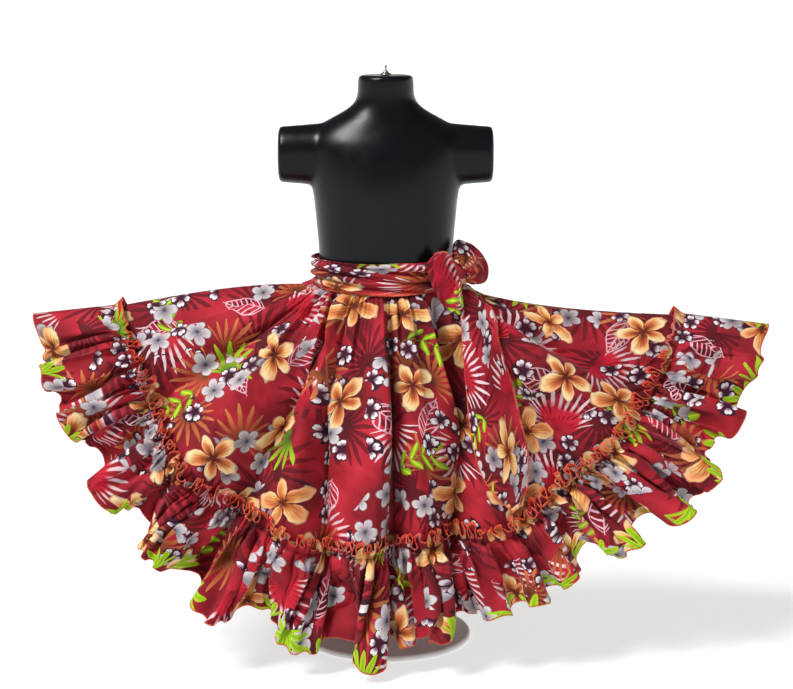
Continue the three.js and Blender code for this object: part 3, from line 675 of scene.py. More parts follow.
def make_flounce(side, seed, print_at, columns, count, frill_columns):
    name = "front" if side is FRONT else "back"
    body = flounce_body(side, columns, count, seed)
    frill = flounce_frill(side, frill_columns, 6, seed)
    lower = round(STRETCHED * count)
    across = run_lengths(body[:, lower:lower + 1], 0)[:, 0]
    down = run_lengths(body[::8], 1)[:, -1].mean()
    flat = np.stack(np.meshgrid(across, np.linspace(0, -down, body.shape[1]), indexing="ij"), -1)
    share = np.interp(np.linspace(0, 1, len(frill)), np.linspace(0, 1, len(body)), across)
    rise = np.linspace(0, HEADING_DEPTH, frill.shape[1])
    frill_flat = np.stack(np.meshgrid(share, rise, indexing="ij"), -1)
    to_hem = down + flat[..., 1]
    to_top = THREAD_SHOWS * (HEADING_DEPTH - frill_flat[..., 1])
    cloth = cloth_shell(f"flounce_{name}_cloth", body, flat + print_at, to_hem, flip=side is BACK)
    edge = cloth_shell(f"flounce_{name}_frill", frill, frill_flat + print_at, to_top, flip=side is FRONT)
    heading = run_lengths(frill, 1)[:, -1].mean()
    print(f"flounce_{name}: a strip {across[-1] * MM:.2f} m long and {down + heading:.0f} mm deep")
    return {"cloth": cloth, "frill": edge, "hem": body[:, -1], "hem_up": body[:, -4],
            "edge": frill[:, -1], "edge_up": frill[:, -3],
            "flat": (across[-1] * MM, down * MM), "heading": heading * MM}


flounces = {"front": make_flounce(FRONT, 41, np.array([310.0, 1500.0]), 1000, 38, 1320),
            "back": make_flounce(BACK, 61, np.array([4300.0, 1500.0]), 780, 30, 1100)}

# %% [markdown]
# ## The sash
# The sash is one long strip of the same cotton, crushed into soft level creases as it is pulled round
# the waist. It is knotted over the left hip. What shows is the stretch round the waist, the knot, one
# loop, a short end that falls over the knot, and the long end that hangs down the front. Each stretch
# is its own sheet here, as it is its own solid, and each crease runs towards the knot that pulls it.

# %% Sizes and surface of the stretch round the waist
SASH_CREASES = rows("at out", (-3, 2.2), (7, 0), (17, 2.2), (26, .4), (35, 1.8), (43, 0))
SASH_LIFT = 5.0  # mm by which its lower edge rises at the two sides
SASH_OFFSET = FORM_GAP + SOLID_WALL + SEAM_GAP + SASH_WALL / 2
KNOT = {"round": 26.0, "height": 17.0, "stand_off": 10.0, "radius": 17.0, "half_height": 22.0}


def round_waist(turn, offset, height):
    """A point on an oval round the form. turn runs from the wearer's left towards the front."""
    x = (FORM_HALF[0] + offset) * np.cos(turn)
    y = -(FORM_HALF[1] + offset) * np.sin(turn)
    return np.stack([x, y, WAIST + height + 0 * turn], -1)


def sash_surface(share, height):
    """The crushed sash, at a share of the way round and a height from the waist."""
    turn = TURN * share
    low, high = SASH_CREASES["at"][0], SASH_CREASES["at"][-1]
    from_knot = np.abs((turn - math.radians(KNOT["round"]) + math.pi) % TURN - math.pi)
    drawn = bell(from_knot, 0, 0.5)
    wander = 4 * np.sin(2 * turn + 0.6) + 3 * np.sin(3 * turn + 2)
    at = np.clip(height + wander * np.sin(math.pi * (height - low) / (high - low)), low, high)
    out = follow(SASH_CREASES, "out", at)
    fine = 1.5 + 4.2 * crimped(np.cos(0.46 * height + 1.6 * np.sin(turn + 1) + 2.2 * np.sin(2 * turn)))
    fine = fine + 1.5 * crimped(np.cos(1.05 * height + 3 * np.sin(turn) + 1.5 * np.cos(3 * turn)))
    bumpy = 0.5 * np.sin(9 * turn + 0.2 * height) * np.sin(5 * turn - 0.1 * height)
    lift = SASH_LIFT * np.cos(turn) ** 2 * (high - height) / (high - low)
    return round_waist(turn, SASH_OFFSET + out * (1 - 0.4 * drawn) + fine + bumpy, height + lift)


print(f"the middle of the sash lies {SASH_OFFSET:.2f} mm off the form")

# %% [markdown]
# ## Two rings of cloth
# The waistband is a plain folded strip, hidden under the sash. Both are rings, so their first and last
# columns meet, and only the upper and lower rims are closed. The sash is crushed to under half its
# width, so its places on the cut lie further apart than they do on the body.

# %% Waistband and sash
BAND_TOP, SASH_TOP, SASH_LOW = 38, 43, -3  # mm above the waist line


def ring_of(columns, start, end, count):
    """Two grids for a ring: the share of the way round it, and steps from start to end across it."""
    return np.meshgrid(np.arange(columns) / columns, np.linspace(start, end, count), indexing="ij")


def on_cut(x, y, stretch, at):
    """Places on the printed cloth (mm): x and y stretched back to their size there, and moved to it."""
    return np.stack([x * stretch[0] + at[0], y * stretch[1] + at[1]], -1)


share, height = ring_of(160, BAND_TOP, 0, 5)
band_grid = round_waist(TURN * share, FORM_GAP + SOLID_WALL / 2, height)
band_flat = on_cut(share, height, stretch=(570, 1), at=(120, 1100))
waistband = cloth_shell("waistband_cloth", band_grid, band_flat, wall=SOLID_WALL, ring=True)
share, height = ring_of(380, SASH_TOP, SASH_LOW, 30)
sash_grid = sash_surface(share, height)
sash_flat = on_cut(share, height, stretch=(600, 2.4), at=(100, 900))
sash_wrap = cloth_shell("sash_round_waist", sash_grid, sash_flat, 0.4 * (height - SASH_LOW), ring=True)

# %% [markdown]
# ## The knot
# The knot is a short length of cloth pulled round both ends, so it is made as a tube of cloth with
# creases along its path, a little larger in the middle than at its ends. Where it would sink into the
# sash, its points are moved out to the sash's surface, as a tight knot is pressed flat behind.

# %% The knot
KNOT_WALL = 1.5  # the thickness that the solid's own outline leaves for the creases
knot_turn = math.radians(KNOT["round"])
knot_away = np.array([math.cos(knot_turn) / FORM_HALF[0], -math.sin(knot_turn) / FORM_HALF[1], 0])
knot_away = knot_away / np.linalg.norm(knot_away)
knot_side = np.array([-knot_away[1], knot_away[0], 0])
pressed = round_waist(np.array(knot_turn), SASH_OFFSET + SASH_WALL / 2, KNOT["height"])
knot_middle = pressed + knot_away * KNOT["stand_off"]


def knot_surface(share, across):
    """share runs round the knot, over its top and down its front. across runs along its axis."""
    turn = TURN * share
    full = np.sqrt(1 - (0.93 * across) ** 2)
    crease = 1 + 0.06 * np.cos(9 * across + 1.2 * np.sin(turn)) + 0.03 * np.cos(17 * across + turn)
    away = (KNOT["radius"] - KNOT_WALL) * full * crease * np.cos(turn)
    up = (KNOT["half_height"] - KNOT_WALL) * full * crease * np.sin(turn)
    point = knot_middle + away[..., None] * knot_away + up[..., None] * np.array([0, 0, 1.0])
    point = point + (0.9 * KNOT["radius"] * across + 2 * np.sin(turn) * full)[..., None] * knot_side
    clear = SASH_OFFSET + SASH_WALL / 2 + SASH_CREASES["out"].max() + 1.2
    inside = np.hypot(point[..., 0] / (FORM_HALF[0] + clear), point[..., 1] / (FORM_HALF[1] + clear))
    point[..., :2] /= np.minimum(inside, 1)[..., None]
    return point


share, across = ring_of(96, -1, 1, 40)
knot_grid = knot_surface(share, across)
knot_flat = on_cut(share, across, stretch=(125, 25), at=(900, 300))
knot = cloth_shell("sash_knot_cloth", knot_grid, knot_flat, ring=True)

# %% [markdown]
# ## The loop of the bow
# The loop is a strip ruled across a path that leaves the knot, goes round and comes back. Its creases
# are deepest next to the knot, where the cloth is squeezed. Its front edge is drawn in to the knot, so
# it shows a broad face and no gap. A simple ring would look like a napkin holder.

# %% The loop
LOOP = rows("at x height half_width", (0, 112, 42, 9), (1, 104, 53, 13), (2, 107, 63, 16), (3, 123, 57, 18),
            (4, 138, 43, 19), (5, 148, 27, 19), (6, 148, 9, 17), (7, 136, 3, 13), (8, 126, 9, 9))
LOOP_Y = -34
LOOP_WIDE = unit(np.array([0.15, 0.9, 0.4]))  # the direction of its width
LOOP_GATHER, LOOP_DRAW = np.array([112, -60, WAIST + 32]), 0.9  # where its front edge is drawn to


def loop_surface(t, across):
    """The loop, at a share t of its path. across runs from its front edge (-1) to its back edge (1)."""
    at = t * LOOP["at"][-1]
    x, height, half = (follow(LOOP, name, at) for name in ("x", "height", "half_width"))
    middle = np.stack([x, np.full_like(x, LOOP_Y), WAIST + height], -1)
    point = middle + LOOP_WIDE * (half * across)[..., None]
    path = along(middle, 0)
    normal = unit(np.cross(np.broadcast_to(LOOP_WIDE, path.shape), path))
    squeezed = 0.45 + 0.55 * np.abs(2 * t - 1) ** 2
    crease = 1.5 * np.cos(6.5 * across + 2.5 * t + 0.4) + 0.7 * np.cos(13 * across - 4 * t)
    point = point + normal * (crease * squeezed)[..., None]
    drawn_in = LOOP_DRAW * ((1 - across) / 2) ** 1.2 * np.sin(math.pi * np.clip(t, 0, 1)) ** 0.5
    leans_in = 8 * bell(t, 0.08, 0.14)
    point[..., 0] -= leans_in + 7 * bell(t, 1, 0.2)
    point[..., 2] += leans_in / 2 - 5 * bell(t, 0.78, 0.12)
    point = point + (LOOP_GATHER - point) * drawn_in[..., None]
    puffed = 3.6 * crimped(np.cos(TURN * (3.6 * t + 0.25 * across + 0.1)))
    puffed = puffed + 2.4 * crimped(np.cos(TURN * (8.3 * t - 0.4 * across)))
    point[..., 1] -= puffed * np.sin(math.pi * t) ** 0.5 * np.cos(math.pi * across / 2.3)
    # A sharp fold parts the upper face from the lower one, and its rim has two corners.
    point[..., 1] -= 5 * bell(t, 0.47, 0.07) - 4 * bell(t, 0.6, 0.06)
    corners = bell(t, 0.34, 0.05) + bell(t, 0.58, 0.05) - 0.4 * np.sin(math.pi * t)
    return point + normal * (1.3 * corners * (1 + across) / 2)[..., None]


t, across = grid_of(110, 26, -1, 1)
loop_grid = loop_surface(t, across)
loop_flat = on_cut(t, across, stretch=(150, 28), at=(527, 1190))
loop = cloth_shell("sash_loop_cloth", loop_grid, loop_flat)

# %% [markdown]
# ## The short end
# The short end comes out of the knot, folds over it and spreads like a small fan. It is ruled from a
# row of roots at the knot to a row of points along its free edge, and bulges between them. Folds that
# fade towards both rows keep it from looking like a stiff card.

# %% The short end
SHORT_END = rows("at root_x root_height x y height", (0, 101, 40, 72, -80, 57), (1, 101, 37, 60, -85, 42),
                 (2, 102, 34, 67, -87, 13), (3, 103, 30, 79, -88, -11), (4, 104, 26, 95, -87, -26),
                 (5, 106, 22, 108, -85, -31), (6, 108, 19, 115, -81, -24))
SHORT_END_ROOT_Y, SHORT_END_BULGE = -60.4, 7


def short_end_surface(t, out):
    """The short end, at a share t of its row of roots and a share out of the way to its free edge."""
    at = t * SHORT_END["at"][-1]
    root_x, root_height, x, y, height = (follow(SHORT_END, name, at) for name in list(SHORT_END)[1:])
    root = np.stack([root_x, np.full_like(root_x, SHORT_END_ROOT_Y), WAIST + root_height], -1)
    edge = np.stack([x, y, WAIST + height], -1)
    point = root + (edge - root) * out[..., None]
    fold = 2.6 * np.cos(TURN * (2.3 * t + 0.15)) * out + 1.0 * np.cos(TURN * (5.2 * t + 0.3 * out))
    rolled = 3.5 * bell(t, 0, 0.07) * out
    point[..., 2] += 12 * np.sin(math.pi * out ** 0.8) * bell(t, 0, 0.25)
    point[..., 1] -= SHORT_END_BULGE * np.sin(math.pi * out) + fold * np.sin(math.pi * out) ** 0.6 - rolled
    return point


t, out = grid_of(80, 44)
short_grid = short_end_surface(t, out)
short_flat = on_cut((t - 0.5) * (30 + 85 * out), -out, stretch=(1, 62), at=(200, 1195))
short_end = cloth_shell("sash_short_end_cloth", short_grid, short_flat, 60 * t + 0.8, flip=True)

# %% [markdown]
# ## The long end
# The long end hangs from the knot down the front panel. A table says where its two edges lie in the
# fan and how far it stands off. It rests on the long folds under it, lies over any pleat that stands
# higher, and spans the hollow beside it, since a creased strip is stiffer than one flat layer.

# %% The long end
LONG_END = rows("at left right lift", (.045, 24, 37, 6), (.09, 21, 41, 8), (.14, 20, 45, 9.5),
                (.2, 25.5, 49.5, 10), (.25, 30, 52.5, 9.5), (.31, 35, 55, 8), (.48, 42, 60.8, 7),
                (.62, 46.5, 63.4, 6.5), (.76, 50, 63.8, 6.5), (.86, 54, 61.8, 6), (.91, 57.5, 60.3, 6))
SINKS = 12  # mm: how far the strip sinks into a trough of the panel under it
STAND_OFF, OVER_PLEAT = 1.5, 5  # mm: off the panel, and off any pleat
SPANS = 10  # how many columns of the grid the strip spans beside a pleat


def long_end_surface(across, down):
    """The long end, at a share of its width and a share of the way down the panel."""
    edge = [follow(LONG_END, name, down) for name in ("left", "right")]
    u = (edge[0] + (edge[1] - edge[0]) * across - FAN_START) / (FAN_END - FAN_START)
    normal = outward(FRONT, lambda a, b: plain_panel(FRONT, a, b), u, down)
    under = fold_heights(FRONT, u, down)[0]
    half = SINKS / 2
    under = np.where(under < -half, half * np.exp((under + half) / half) - SINKS, under)
    near_knot = 1 - smooth(down, 0.06, 0.34)
    folds = 1.6 * np.cos(TURN * (1.4 * across + 0.5 * down)) * (0.6 + near_knot)
    folds = folds + 1.1 * near_knot * np.cos(TURN * (4.2 * across - 0.8 * down))
    folds = folds + 0.6 * ripples(across + 1.5 * down, 0.33, 71) * ripples(down, 0.11, 72)
    pleat = all_folds(FRONT, u, down)[0]
    for _ in range(SPANS):
        pleat[1:-1] = np.maximum(pleat[1:-1], (pleat[:-2] + pleat[2:]) / 2)
    height = under + follow(LONG_END, "lift", down) + STAND_OFF + folds
    height = height + 4 * np.logaddexp(0, (pleat + OVER_PLEAT - height) / 4)
    return plain_panel(FRONT, u, down) + normal * height[..., None]


across, down = grid_of(46, 170, *LONG_END["at"][[0, -1]])
long_grid = long_end_surface(across, down)
long_side, long_wide = run_lengths(long_grid, 1), run_lengths(long_grid, 0)
long_flat = on_cut(-long_wide, -long_side, stretch=(1.5, 1), at=(1200, 700))
long_edge = np.minimum(long_wide, long_wide[-1:] - long_wide)
long_end = cloth_shell("sash_long_end_cloth", long_grid, long_flat, long_edge)
print(f"long end: {long_side[:, -1].mean():.0f} mm long and up to {long_wide[-1].max():.0f} mm wide")

# %% [markdown]
# ## Stacked and turned shapes
# The form and its stand are stacks of rings: ovals for the form, circles for what is turned on a
# lathe. `stacked` closes such a stack into one mesh. `rounded` cuts each corner of a profile twice,
# because on a real edge a thin line of light shows, and on a perfectly sharp one there is none.

# %% Helpers for stacked and turned shapes
SIDES = 96


def band(lower, upper, sides):
    """The faces between two rings of points, given the number of the first point of each."""
    pairs = [(k, (k + 1) % sides) for k in range(sides)]
    return [(lower + k, lower + n, upper + n, upper + k) for k, n in pairs]


def stacked(name, rings):
    """A closed mesh through rings of points (mm), with a fan of triangles at each end."""
    sides = len(rings[0])
    points = np.concatenate(rings + [rings[0].mean(0, keepdims=True), rings[-1].mean(0, keepdims=True)])
    faces = []
    for row in range(0, (len(rings) - 1) * sides, sides):
        faces += band(row, row + sides, sides)
    last = (len(rings) - 1) * sides
    for k in range(sides):
        n = (k + 1) % sides
        faces.append((len(points) - 2, n, k))
        faces.append((len(points) - 1, last + k, last + n))
    mesh = bpy.data.meshes.new(name)
    mesh.from_pydata((points * MM).tolist(), [], faces)
    shade_smooth(mesh)
    mesh.update()
    return placed(name, mesh)


def oval(half_width, half_depth, z, sides=SIDES):
    turn = np.arange(sides) * TURN / sides
    return np.stack([half_width * np.cos(turn), half_depth * np.sin(turn), np.full(sides, z)], -1)


def turned(name, profile, sides=SIDES):
    """Spins (radius, height) corners round Z. The profile starts and ends on the axis."""
    return stacked(name, [oval(radius, radius, z, sides) for radius, z in profile[1:-1]])


def rounded(profile, cut=0.8):
    """The profile with each corner cut twice, so that edges catch the light."""
    for share in (cut, cut / 2):
        corners = [profile[0]]
        for a, b, c in zip(profile, profile[1:], profile[2:]):
            a, b, c = (np.array(p, float) for p in (a, b, c))
            back, ahead = np.linalg.norm(b - a), np.linalg.norm(c - b)
            corners.append(b + (a - b) * min(share / max(back, 1e-6), 0.3))
            corners.append(b + (c - b) * min(share / max(ahead, 1e-6), 0.3))
        profile = corners + [profile[-1]]
    return profile


def settled(piece):
    """The piece with its modifiers applied, as a plain mesh."""
    seen = piece.evaluated_get(bpy.context.evaluated_depsgraph_get())
    mesh = bpy.data.meshes.new_from_object(seen)
    piece.modifiers.clear()
    piece.data = mesh
    return piece


print("faces between two rings of", SIDES, "points:", len(band(0, SIDES, SIDES)))

# %% [markdown]
# ## The dress form
# The form is a hollow plastic moulding with a flat-topped neck and two shoulder stumps that end in
# discs. Trunk and stumps are made apart, and a voxel remesh melts them into one skin, which gives the
# soft fillets of a moulding for nothing. A boolean would leave a hard crease at the shoulders.

# %% The form
SHOULDER = {"height": 195.0, "end_x": 159.0, "length": 75.0, "end": 41.0, "root": 47.0, "depth": 0.86}
POLE_RADIUS, POLE_IN_FORM, BORE = 12.5, 60.0, 14.5
FORM_BOTTOM, NECK_TOP = WAIST + TRUNK["at"][0], WAIST + TRUNK["at"][-1]
SECTION_STEP = 4  # mm between the rings of the form
VOXEL = 0.0039


def stump(way):
    """A shoulder stump on one side, from its root inside the trunk to its disc."""
    rings = []
    for share in np.linspace(0, 1, 12):
        reach = SHOULDER["end_x"] - SHOULDER["length"] * (1 - share)
        radius = SHOULDER["root"] + (SHOULDER["end"] - SHOULDER["root"]) * share
        up, across = oval(radius, radius * SHOULDER["depth"], 0)[:, :2].T
        ring = np.stack([np.full(SIDES, way * reach), across, WAIST + SHOULDER["height"] + up], -1)
        rings.append(ring if way < 0 else ring[::-1])
    return stacked(f"stump_{way}", rings)


sections = np.arange(TRUNK["at"][0] + 10, 311, SECTION_STEP)
sections = np.unique(np.concatenate([TRUNK["at"][:2], sections, TRUNK["at"][-2:]]))
rings = [oval(BORE, BORE, FORM_BOTTOM + POLE_IN_FORM), oval(BORE, BORE, FORM_BOTTOM)]
for at in sections:
    rings.append(oval(follow(TRUNK, "half_width", at), follow(TRUNK, "half_depth", at), WAIST + at))
torso = stacked("dress_form", rings)
stumps = [stump(-1), stump(1)]
with bpy.context.temp_override(active_object=torso, selected_editable_objects=[torso, *stumps]):
    bpy.ops.object.join()
melt = torso.modifiers.new("melt", "REMESH")
melt.mode = "VOXEL"
melt.voxel_size = VOXEL
melt.use_smooth_shade = True
soften = torso.modifiers.new("soften", "SMOOTH")
soften.factor = 0.5
soften.iterations = 8
settled(torso)
print("dress form:", len(torso.data.polygons), "faces")

# %% [markdown]
# ## The turned pieces
# The pole, the round base and the small bell on the neck were turned, so each is a profile of corners
# spun round Z. A profile is easy to check against a sheet of sizes, and has no seam to hide.

# %% The turned pieces
BASE_SEAT, BOSS = 8.0, 34.0
REST = 0.35  # mm between the pole and what holds it, and under the bell
BELL = [(0, .35), (8.2, .35), (7.6, 1.75), (4.6, 3.35), (3.2, 5.35), (1.3, 6.85), (1.2, 10.85), (2, 11.75),
        (2, 13.15), (1.1, 14.05), (0, 14.35)]
finial = turned("neck_bell", rounded([(radius, NECK_TOP + up) for radius, up in BELL], 0.3), 48)
POLE_LOW, POLE_TOP = BASE_SEAT + REST, FORM_BOTTOM + POLE_IN_FORM - REST
pole = turned("stand_tube", rounded([(0, POLE_LOW), (POLE_RADIUS, POLE_LOW), (POLE_RADIUS, POLE_TOP),
                                     (0, POLE_TOP)]))
base = turned("stand_plate", rounded([(0, 0), (130, 0), (130, 5), (127, 8), (24, 9), (20, 14), (20, BOSS),
                                      (POLE_RADIUS + REST, BOSS), (POLE_RADIUS + REST, BASE_SEAT),
                                      (0, BASE_SEAT)]), 128)
print("turned:", [len(x.data.polygons) for x in (finial, pole, base)], "faces")

# %% [markdown]
# ## Writing formulas as nodes
# The print is drawn by the material itself, from a few formulas: petals are a wave in the angle round
# a flower, and palm leaves are rays. Placing dozens of Math nodes by hand is slow and hard to read,
# so a `Wire` stands for a socket, and ordinary arithmetic on it adds the nodes and links.

# %% A wire that does arithmetic
class Wire:
    """An output socket that can be added, multiplied and compared like a number."""

    def __init__(self, tree, socket):
        self.tree, self.socket = tree, socket

    def angle_to(self, other):
        return worked(self.tree, "ARCTAN2", self, other)


def forward(operation):
    return lambda self, *other: worked(self.tree, operation, self, *other)


def backward(operation):
    return lambda self, other: worked(self.tree, operation, other, self)


for method, operation in (("__add__", "ADD"), ("__sub__", "SUBTRACT"), ("__mul__", "MULTIPLY"),
                          ("__truediv__", "DIVIDE"), ("__pow__", "POWER"), ("__abs__", "ABSOLUTE"),
                          ("__lt__", "LESS_THAN"), ("__gt__", "GREATER_THAN"), ("sin", "SINE"),
                          ("cos", "COSINE"), ("sqrt", "SQRT"), ("nearest", "ROUND"),
                          ("at_least", "MAXIMUM"), ("at_most", "MINIMUM")):
    setattr(Wire, method, forward(operation))
for method, operation in (("__radd__", "ADD"), ("__rsub__", "SUBTRACT"), ("__rmul__", "MULTIPLY")):
    setattr(Wire, method, backward(operation))


def plug(tree, slot, value):
    """Fills an input with a wire, with a node's output, or with a plain value."""
    if isinstance(value, Wire):
        value = value.socket
    if isinstance(value, bpy.types.NodeSocket):
        tree.links.new(value, slot)
    else:
        slot.default_value = value


def added(tree, kind, inputs=None, **settings):
    """A new node with its settings made and its inputs filled. inputs goes by name or number."""
    node = tree.nodes.new(kind)
    for name, value in settings.items():
        setattr(node, name, value)
    for slot, value in (inputs or {}).items():
        plug(tree, node.inputs[slot], value)
    return node


def worked(tree, operation, *values):
    """A Math node's result."""
    node = added(tree, "ShaderNodeMath", dict(enumerate(values)), operation=operation)
    return Wire(tree, node.outputs[0])


print("a wire knows", sum(callable(member) for member in vars(Wire).values()), "operations")

# %% [markdown]
# ## Steps, ramps, noise and colours
# Four more nodes do the rest: a soft step turns a distance into a mask, a ramp turns a number into a
# colour, a mix lays one colour on another, and noise makes it uneven. Colours are written as screen
# values from 0 to 255, since those can be compared with a swatch, and are made linear here.

# %% Helpers for colour
def step(wire, start, end):
    """0 before start, 1 after end, smooth between. Start may be the larger."""
    low, high = min(start, end), max(start, end)
    node = added(wire.tree, "ShaderNodeMapRange", {
        "Value": wire, "From Min": low, "From Max": high, "To Min": float(start > end),
        "To Max": float(start < end)}, interpolation_type="SMOOTHSTEP")
    return Wire(wire.tree, node.outputs[0])


def rgb(red, green, blue):
    """A colour from 0-255 screen values, made linear."""
    def linear(v):
        v = v / 255
        return v / 12.92 if v <= 0.04045 else ((v + 0.055) / 1.055) ** 2.4
    return (linear(red), linear(green), linear(blue), 1.0)


def mixed(tree, share, first, second):
    """The first colour with a share of the second laid on it. Each colour may be a wire."""
    node = added(tree, "ShaderNodeMix", {0: share, 6: first, 7: second}, data_type="RGBA")
    return Wire(tree, node.outputs[2])


def ramp(wire, *stops):
    """A colour ramp: each stop is a place, and red, green and blue as screen values."""
    node = added(wire.tree, "ShaderNodeValToRGB", {0: wire})
    elements = node.color_ramp.elements
    while len(elements) < len(stops):
        elements.new(0.5)
    for element, (place, *colour) in zip(elements, stops):
        element.position = place
        element.color = rgb(*colour)
    return Wire(wire.tree, node.outputs[0])


def noise(tree, place, scale, detail):
    node = added(tree, "ShaderNodeTexNoise", {"Vector": place, "Scale": scale, "Detail": detail})
    return Wire(tree, node.outputs[0])


print("the ground's middle red, made linear:", [round(v, 3) for v in rgb(150, 22, 36)])

# %% [markdown]
# ## The printed cotton
# A tropical print is built in layers, like a screen print: the crimson ground, palm fronds in the
# ground's own reds, rust palms, white leaf outlines, lime sprigs, large golden hibiscus, and two
# kinds of small blossom. A Voronoi texture scatters each layer. Its Position output is the middle of
# a flower and its Color turns each one another way, so one node lays out a whole layer. The motifs
# are ordinary ones for such cloth, each drawn by its own formula.

# %% Scatter the motifs
def moved_by(tree, place, x, y):
    return Wire(tree, added(tree, "ShaderNodeVectorMath", {0: place, 1: (x, y, 0)}).outputs[0])


def scatter(tree, place, spacing, unevenness, moved):
    """Local coordinates (m) round scattered middles, turned at random, and two random numbers."""
    shift = moved_by(tree, place, moved, moved * 1.7)
    cells = added(tree, "ShaderNodeTexVoronoi", {"Vector": shift, "Scale": 1 / spacing,
                                                 "Randomness": unevenness}, voronoi_dimensions="2D")
    middle = {0: shift, 1: cells.outputs["Position"]}
    local = added(tree, "ShaderNodeVectorMath", middle, operation="SUBTRACT")
    numbers = added(tree, "ShaderNodeSeparateColor", {0: cells.outputs["Color"]})
    one, two, three = (Wire(tree, output) for output in numbers.outputs[:3])
    turned_by = added(tree, "ShaderNodeVectorRotate", {"Vector": local.outputs[0], "Angle": one * TURN},
                      rotation_type="Z_AXIS")
    parts = added(tree, "ShaderNodeSeparateXYZ", {0: turned_by.outputs[0]})
    return Wire(tree, parts.outputs[0]), Wire(tree, parts.outputs[1]), two, three


def wobbled(tree, place, scale, by):
    """A place moved a little by noise, so that every outline looks drawn by hand."""
    uneven = added(tree, "ShaderNodeTexNoise", {"Vector": place, "Scale": scale, "Detail": 1.0})
    moved = {0: uneven.outputs["Color"], 1: (by, by, 0), 2: place}
    return Wire(tree, added(tree, "ShaderNodeVectorMath", moved, operation="MULTIPLY_ADD").outputs[0])


print("47 mm apart, there are about", round(0.047 ** -2), "places to the square metre")

# %% [markdown]
# ## The large flower
# A petal is one period of a wave in the angle round the flower: `p` runs across it and `t` runs out
# from the middle to its rim. Colour follows `t`, and veins, shade and outlines follow `p`. The large
# flower is squeezed at random, as if seen from the side, because a perfect star looks like a stamp.

# %% Petals, and the large flower
def petals_of(x, y, size, count, notch, fullness):
    """Where a point lies in a flower: t is 0 in the middle and 1 at the rim, p is across a petal."""
    spin = y.angle_to(x) * (count / TURN)
    p = spin - spin.nearest()
    rim = notch + (1 - notch) * (p * math.pi).cos() ** fullness
    t = (x * x + y * y).sqrt() / (rim * size)
    return t, p


def hibiscus(x, y, size, tone):
    """A large golden flower, seen a little from the side: cream tips, orange folds, a dark throat."""
    tree = x.tree
    x = x * (1.05 + 0.5 * tone) + 0.12 * size
    t, p = petals_of(x, y, size, 5, 0.33, 0.95)
    k = (y.angle_to(x) * (5 / TURN)).nearest()
    t = t * (1.06 + 0.17 * (k * 2.3 + tone * 9).sin())
    t = t * (1 + 0.05 * (y * 330).sin() * (x * 290).cos())
    lit = step(p * (0.8 + tone) + 0.25 * (t * 5 + tone * 6).sin(), -0.3, 0.25)
    bright = ramp(t, (0.0, 38, 8, 12), (0.16, 76, 22, 14), (0.28, 200, 112, 50), (0.48, 228, 170, 96),
                  (0.75, 228, 194, 138), (1.0, 226, 206, 166))
    deep = ramp(t, (0.0, 38, 8, 12), (0.24, 84, 26, 12), (0.44, 168, 78, 40), (0.7, 208, 124, 70),
                (1.0, 230, 182, 128))
    colour = mixed(tree, lit, deep, bright)
    veins = (p * 40 + 3 * (t * 3).sin()).sin() * 0.5 + 0.5
    colour = mixed(tree, veins ** 3 * step(t, 0.95, 0.2) * 0.85, colour, rgb(120, 44, 18))
    between = step(abs(p) + 0.03 * (t * 14).sin(), 0.4, 0.48) * step(t, 0.1, 0.35)
    colour = mixed(tree, between * 0.95, colour, rgb(84, 26, 18))
    colour = mixed(tree, step(t, 0.9, 0.98) * 0.6, colour, rgb(140, 66, 30))
    gap = (abs(p) > 0.452) * (t > 0.45)
    return (t < 1.0) * (1 - gap), colour


print("each of a flower's five petals takes up", 360 // 5, "degrees")

# %% [markdown]
# ## The small flowers
# These two fill the ground between the large ones. The first has plain round petals, drawn with the
# same formula. The second has petals of its own: an oval round each petal's middle, with a notch at
# its tip, on a dark ground that sets it off.

# %% The two small flowers
def blossom(x, y, size, tone):
    """Five round petals in greyish white, with a small dark eye and a dark outline."""
    t, p = petals_of(x, y * (1 + 0.2 * tone), size, 5, 0.3, 0.42)
    colour = ramp(t, (0.0, 40, 12, 30), (0.12, 56, 20, 40), (0.2, 128, 118, 126), (0.45, 168, 158, 162),
                  (1.0, 208, 198, 200))
    veins = (p * 26).sin() * 0.5 + 0.5
    colour = mixed(x.tree, veins ** 2 * step(t, 0.95, 0.2) * 0.45, colour, rgb(96, 100, 114))
    shade = step(p + 0.2 * (t * 7).sin(), 0.05, 0.45)
    colour = mixed(x.tree, shade * 0.35, colour, rgb(120, 124, 138))
    outline = step(t, 0.9, 0.97) + step(abs(p), 0.43, 0.5) * step(t, 0.15, 0.3)
    colour = mixed(x.tree, outline.at_most(1.0) * 0.8, colour, rgb(62, 34, 52))
    return t < 1.0, colour


def eye_blossom(x, y, size, tone):
    """A small white flower on a dark purple ground: notched petals that darken towards the eye."""
    spin = y.angle_to(x * (1 + 0.25 * tone)) * (5 / TURN)
    k = spin.nearest()
    uneven = (k * 5.3 + 7 * tone).sin()
    p = spin - k + 0.06 * (k * 4.1 + 9 * tone).sin()
    r = (x * x + y * y).sqrt() / (size * (1 + 0.12 * uneven))
    petal = ((r - 0.68) * 2.9) ** 2 + (p * 2.75) ** 2
    petal = petal + step(abs(p), 0.09, 0.02) * step(r, 0.72, 0.9) * 0.5
    ground = (r < 0.88 + 0.3 * uneven) + (petal < 1.55)
    shaded = ramp(r, (0.3, 60, 20, 42), (0.52, 150, 112, 136), (0.72, 216, 206, 210), (1.0, 226, 220, 222))
    streak = step(abs(p), 0.05, 0.02) * step(r, 0.75, 0.5)
    shaded = mixed(x.tree, streak * 0.8, shaded, rgb(70, 24, 46))
    colour = mixed(x.tree, step(petal, 1.0, 0.85), rgb(54, 14, 32), shaded)
    return ground.at_most(1.0), colour


print("flowers:", [motif.__name__ for motif in (hibiscus, blossom, eye_blossom)])

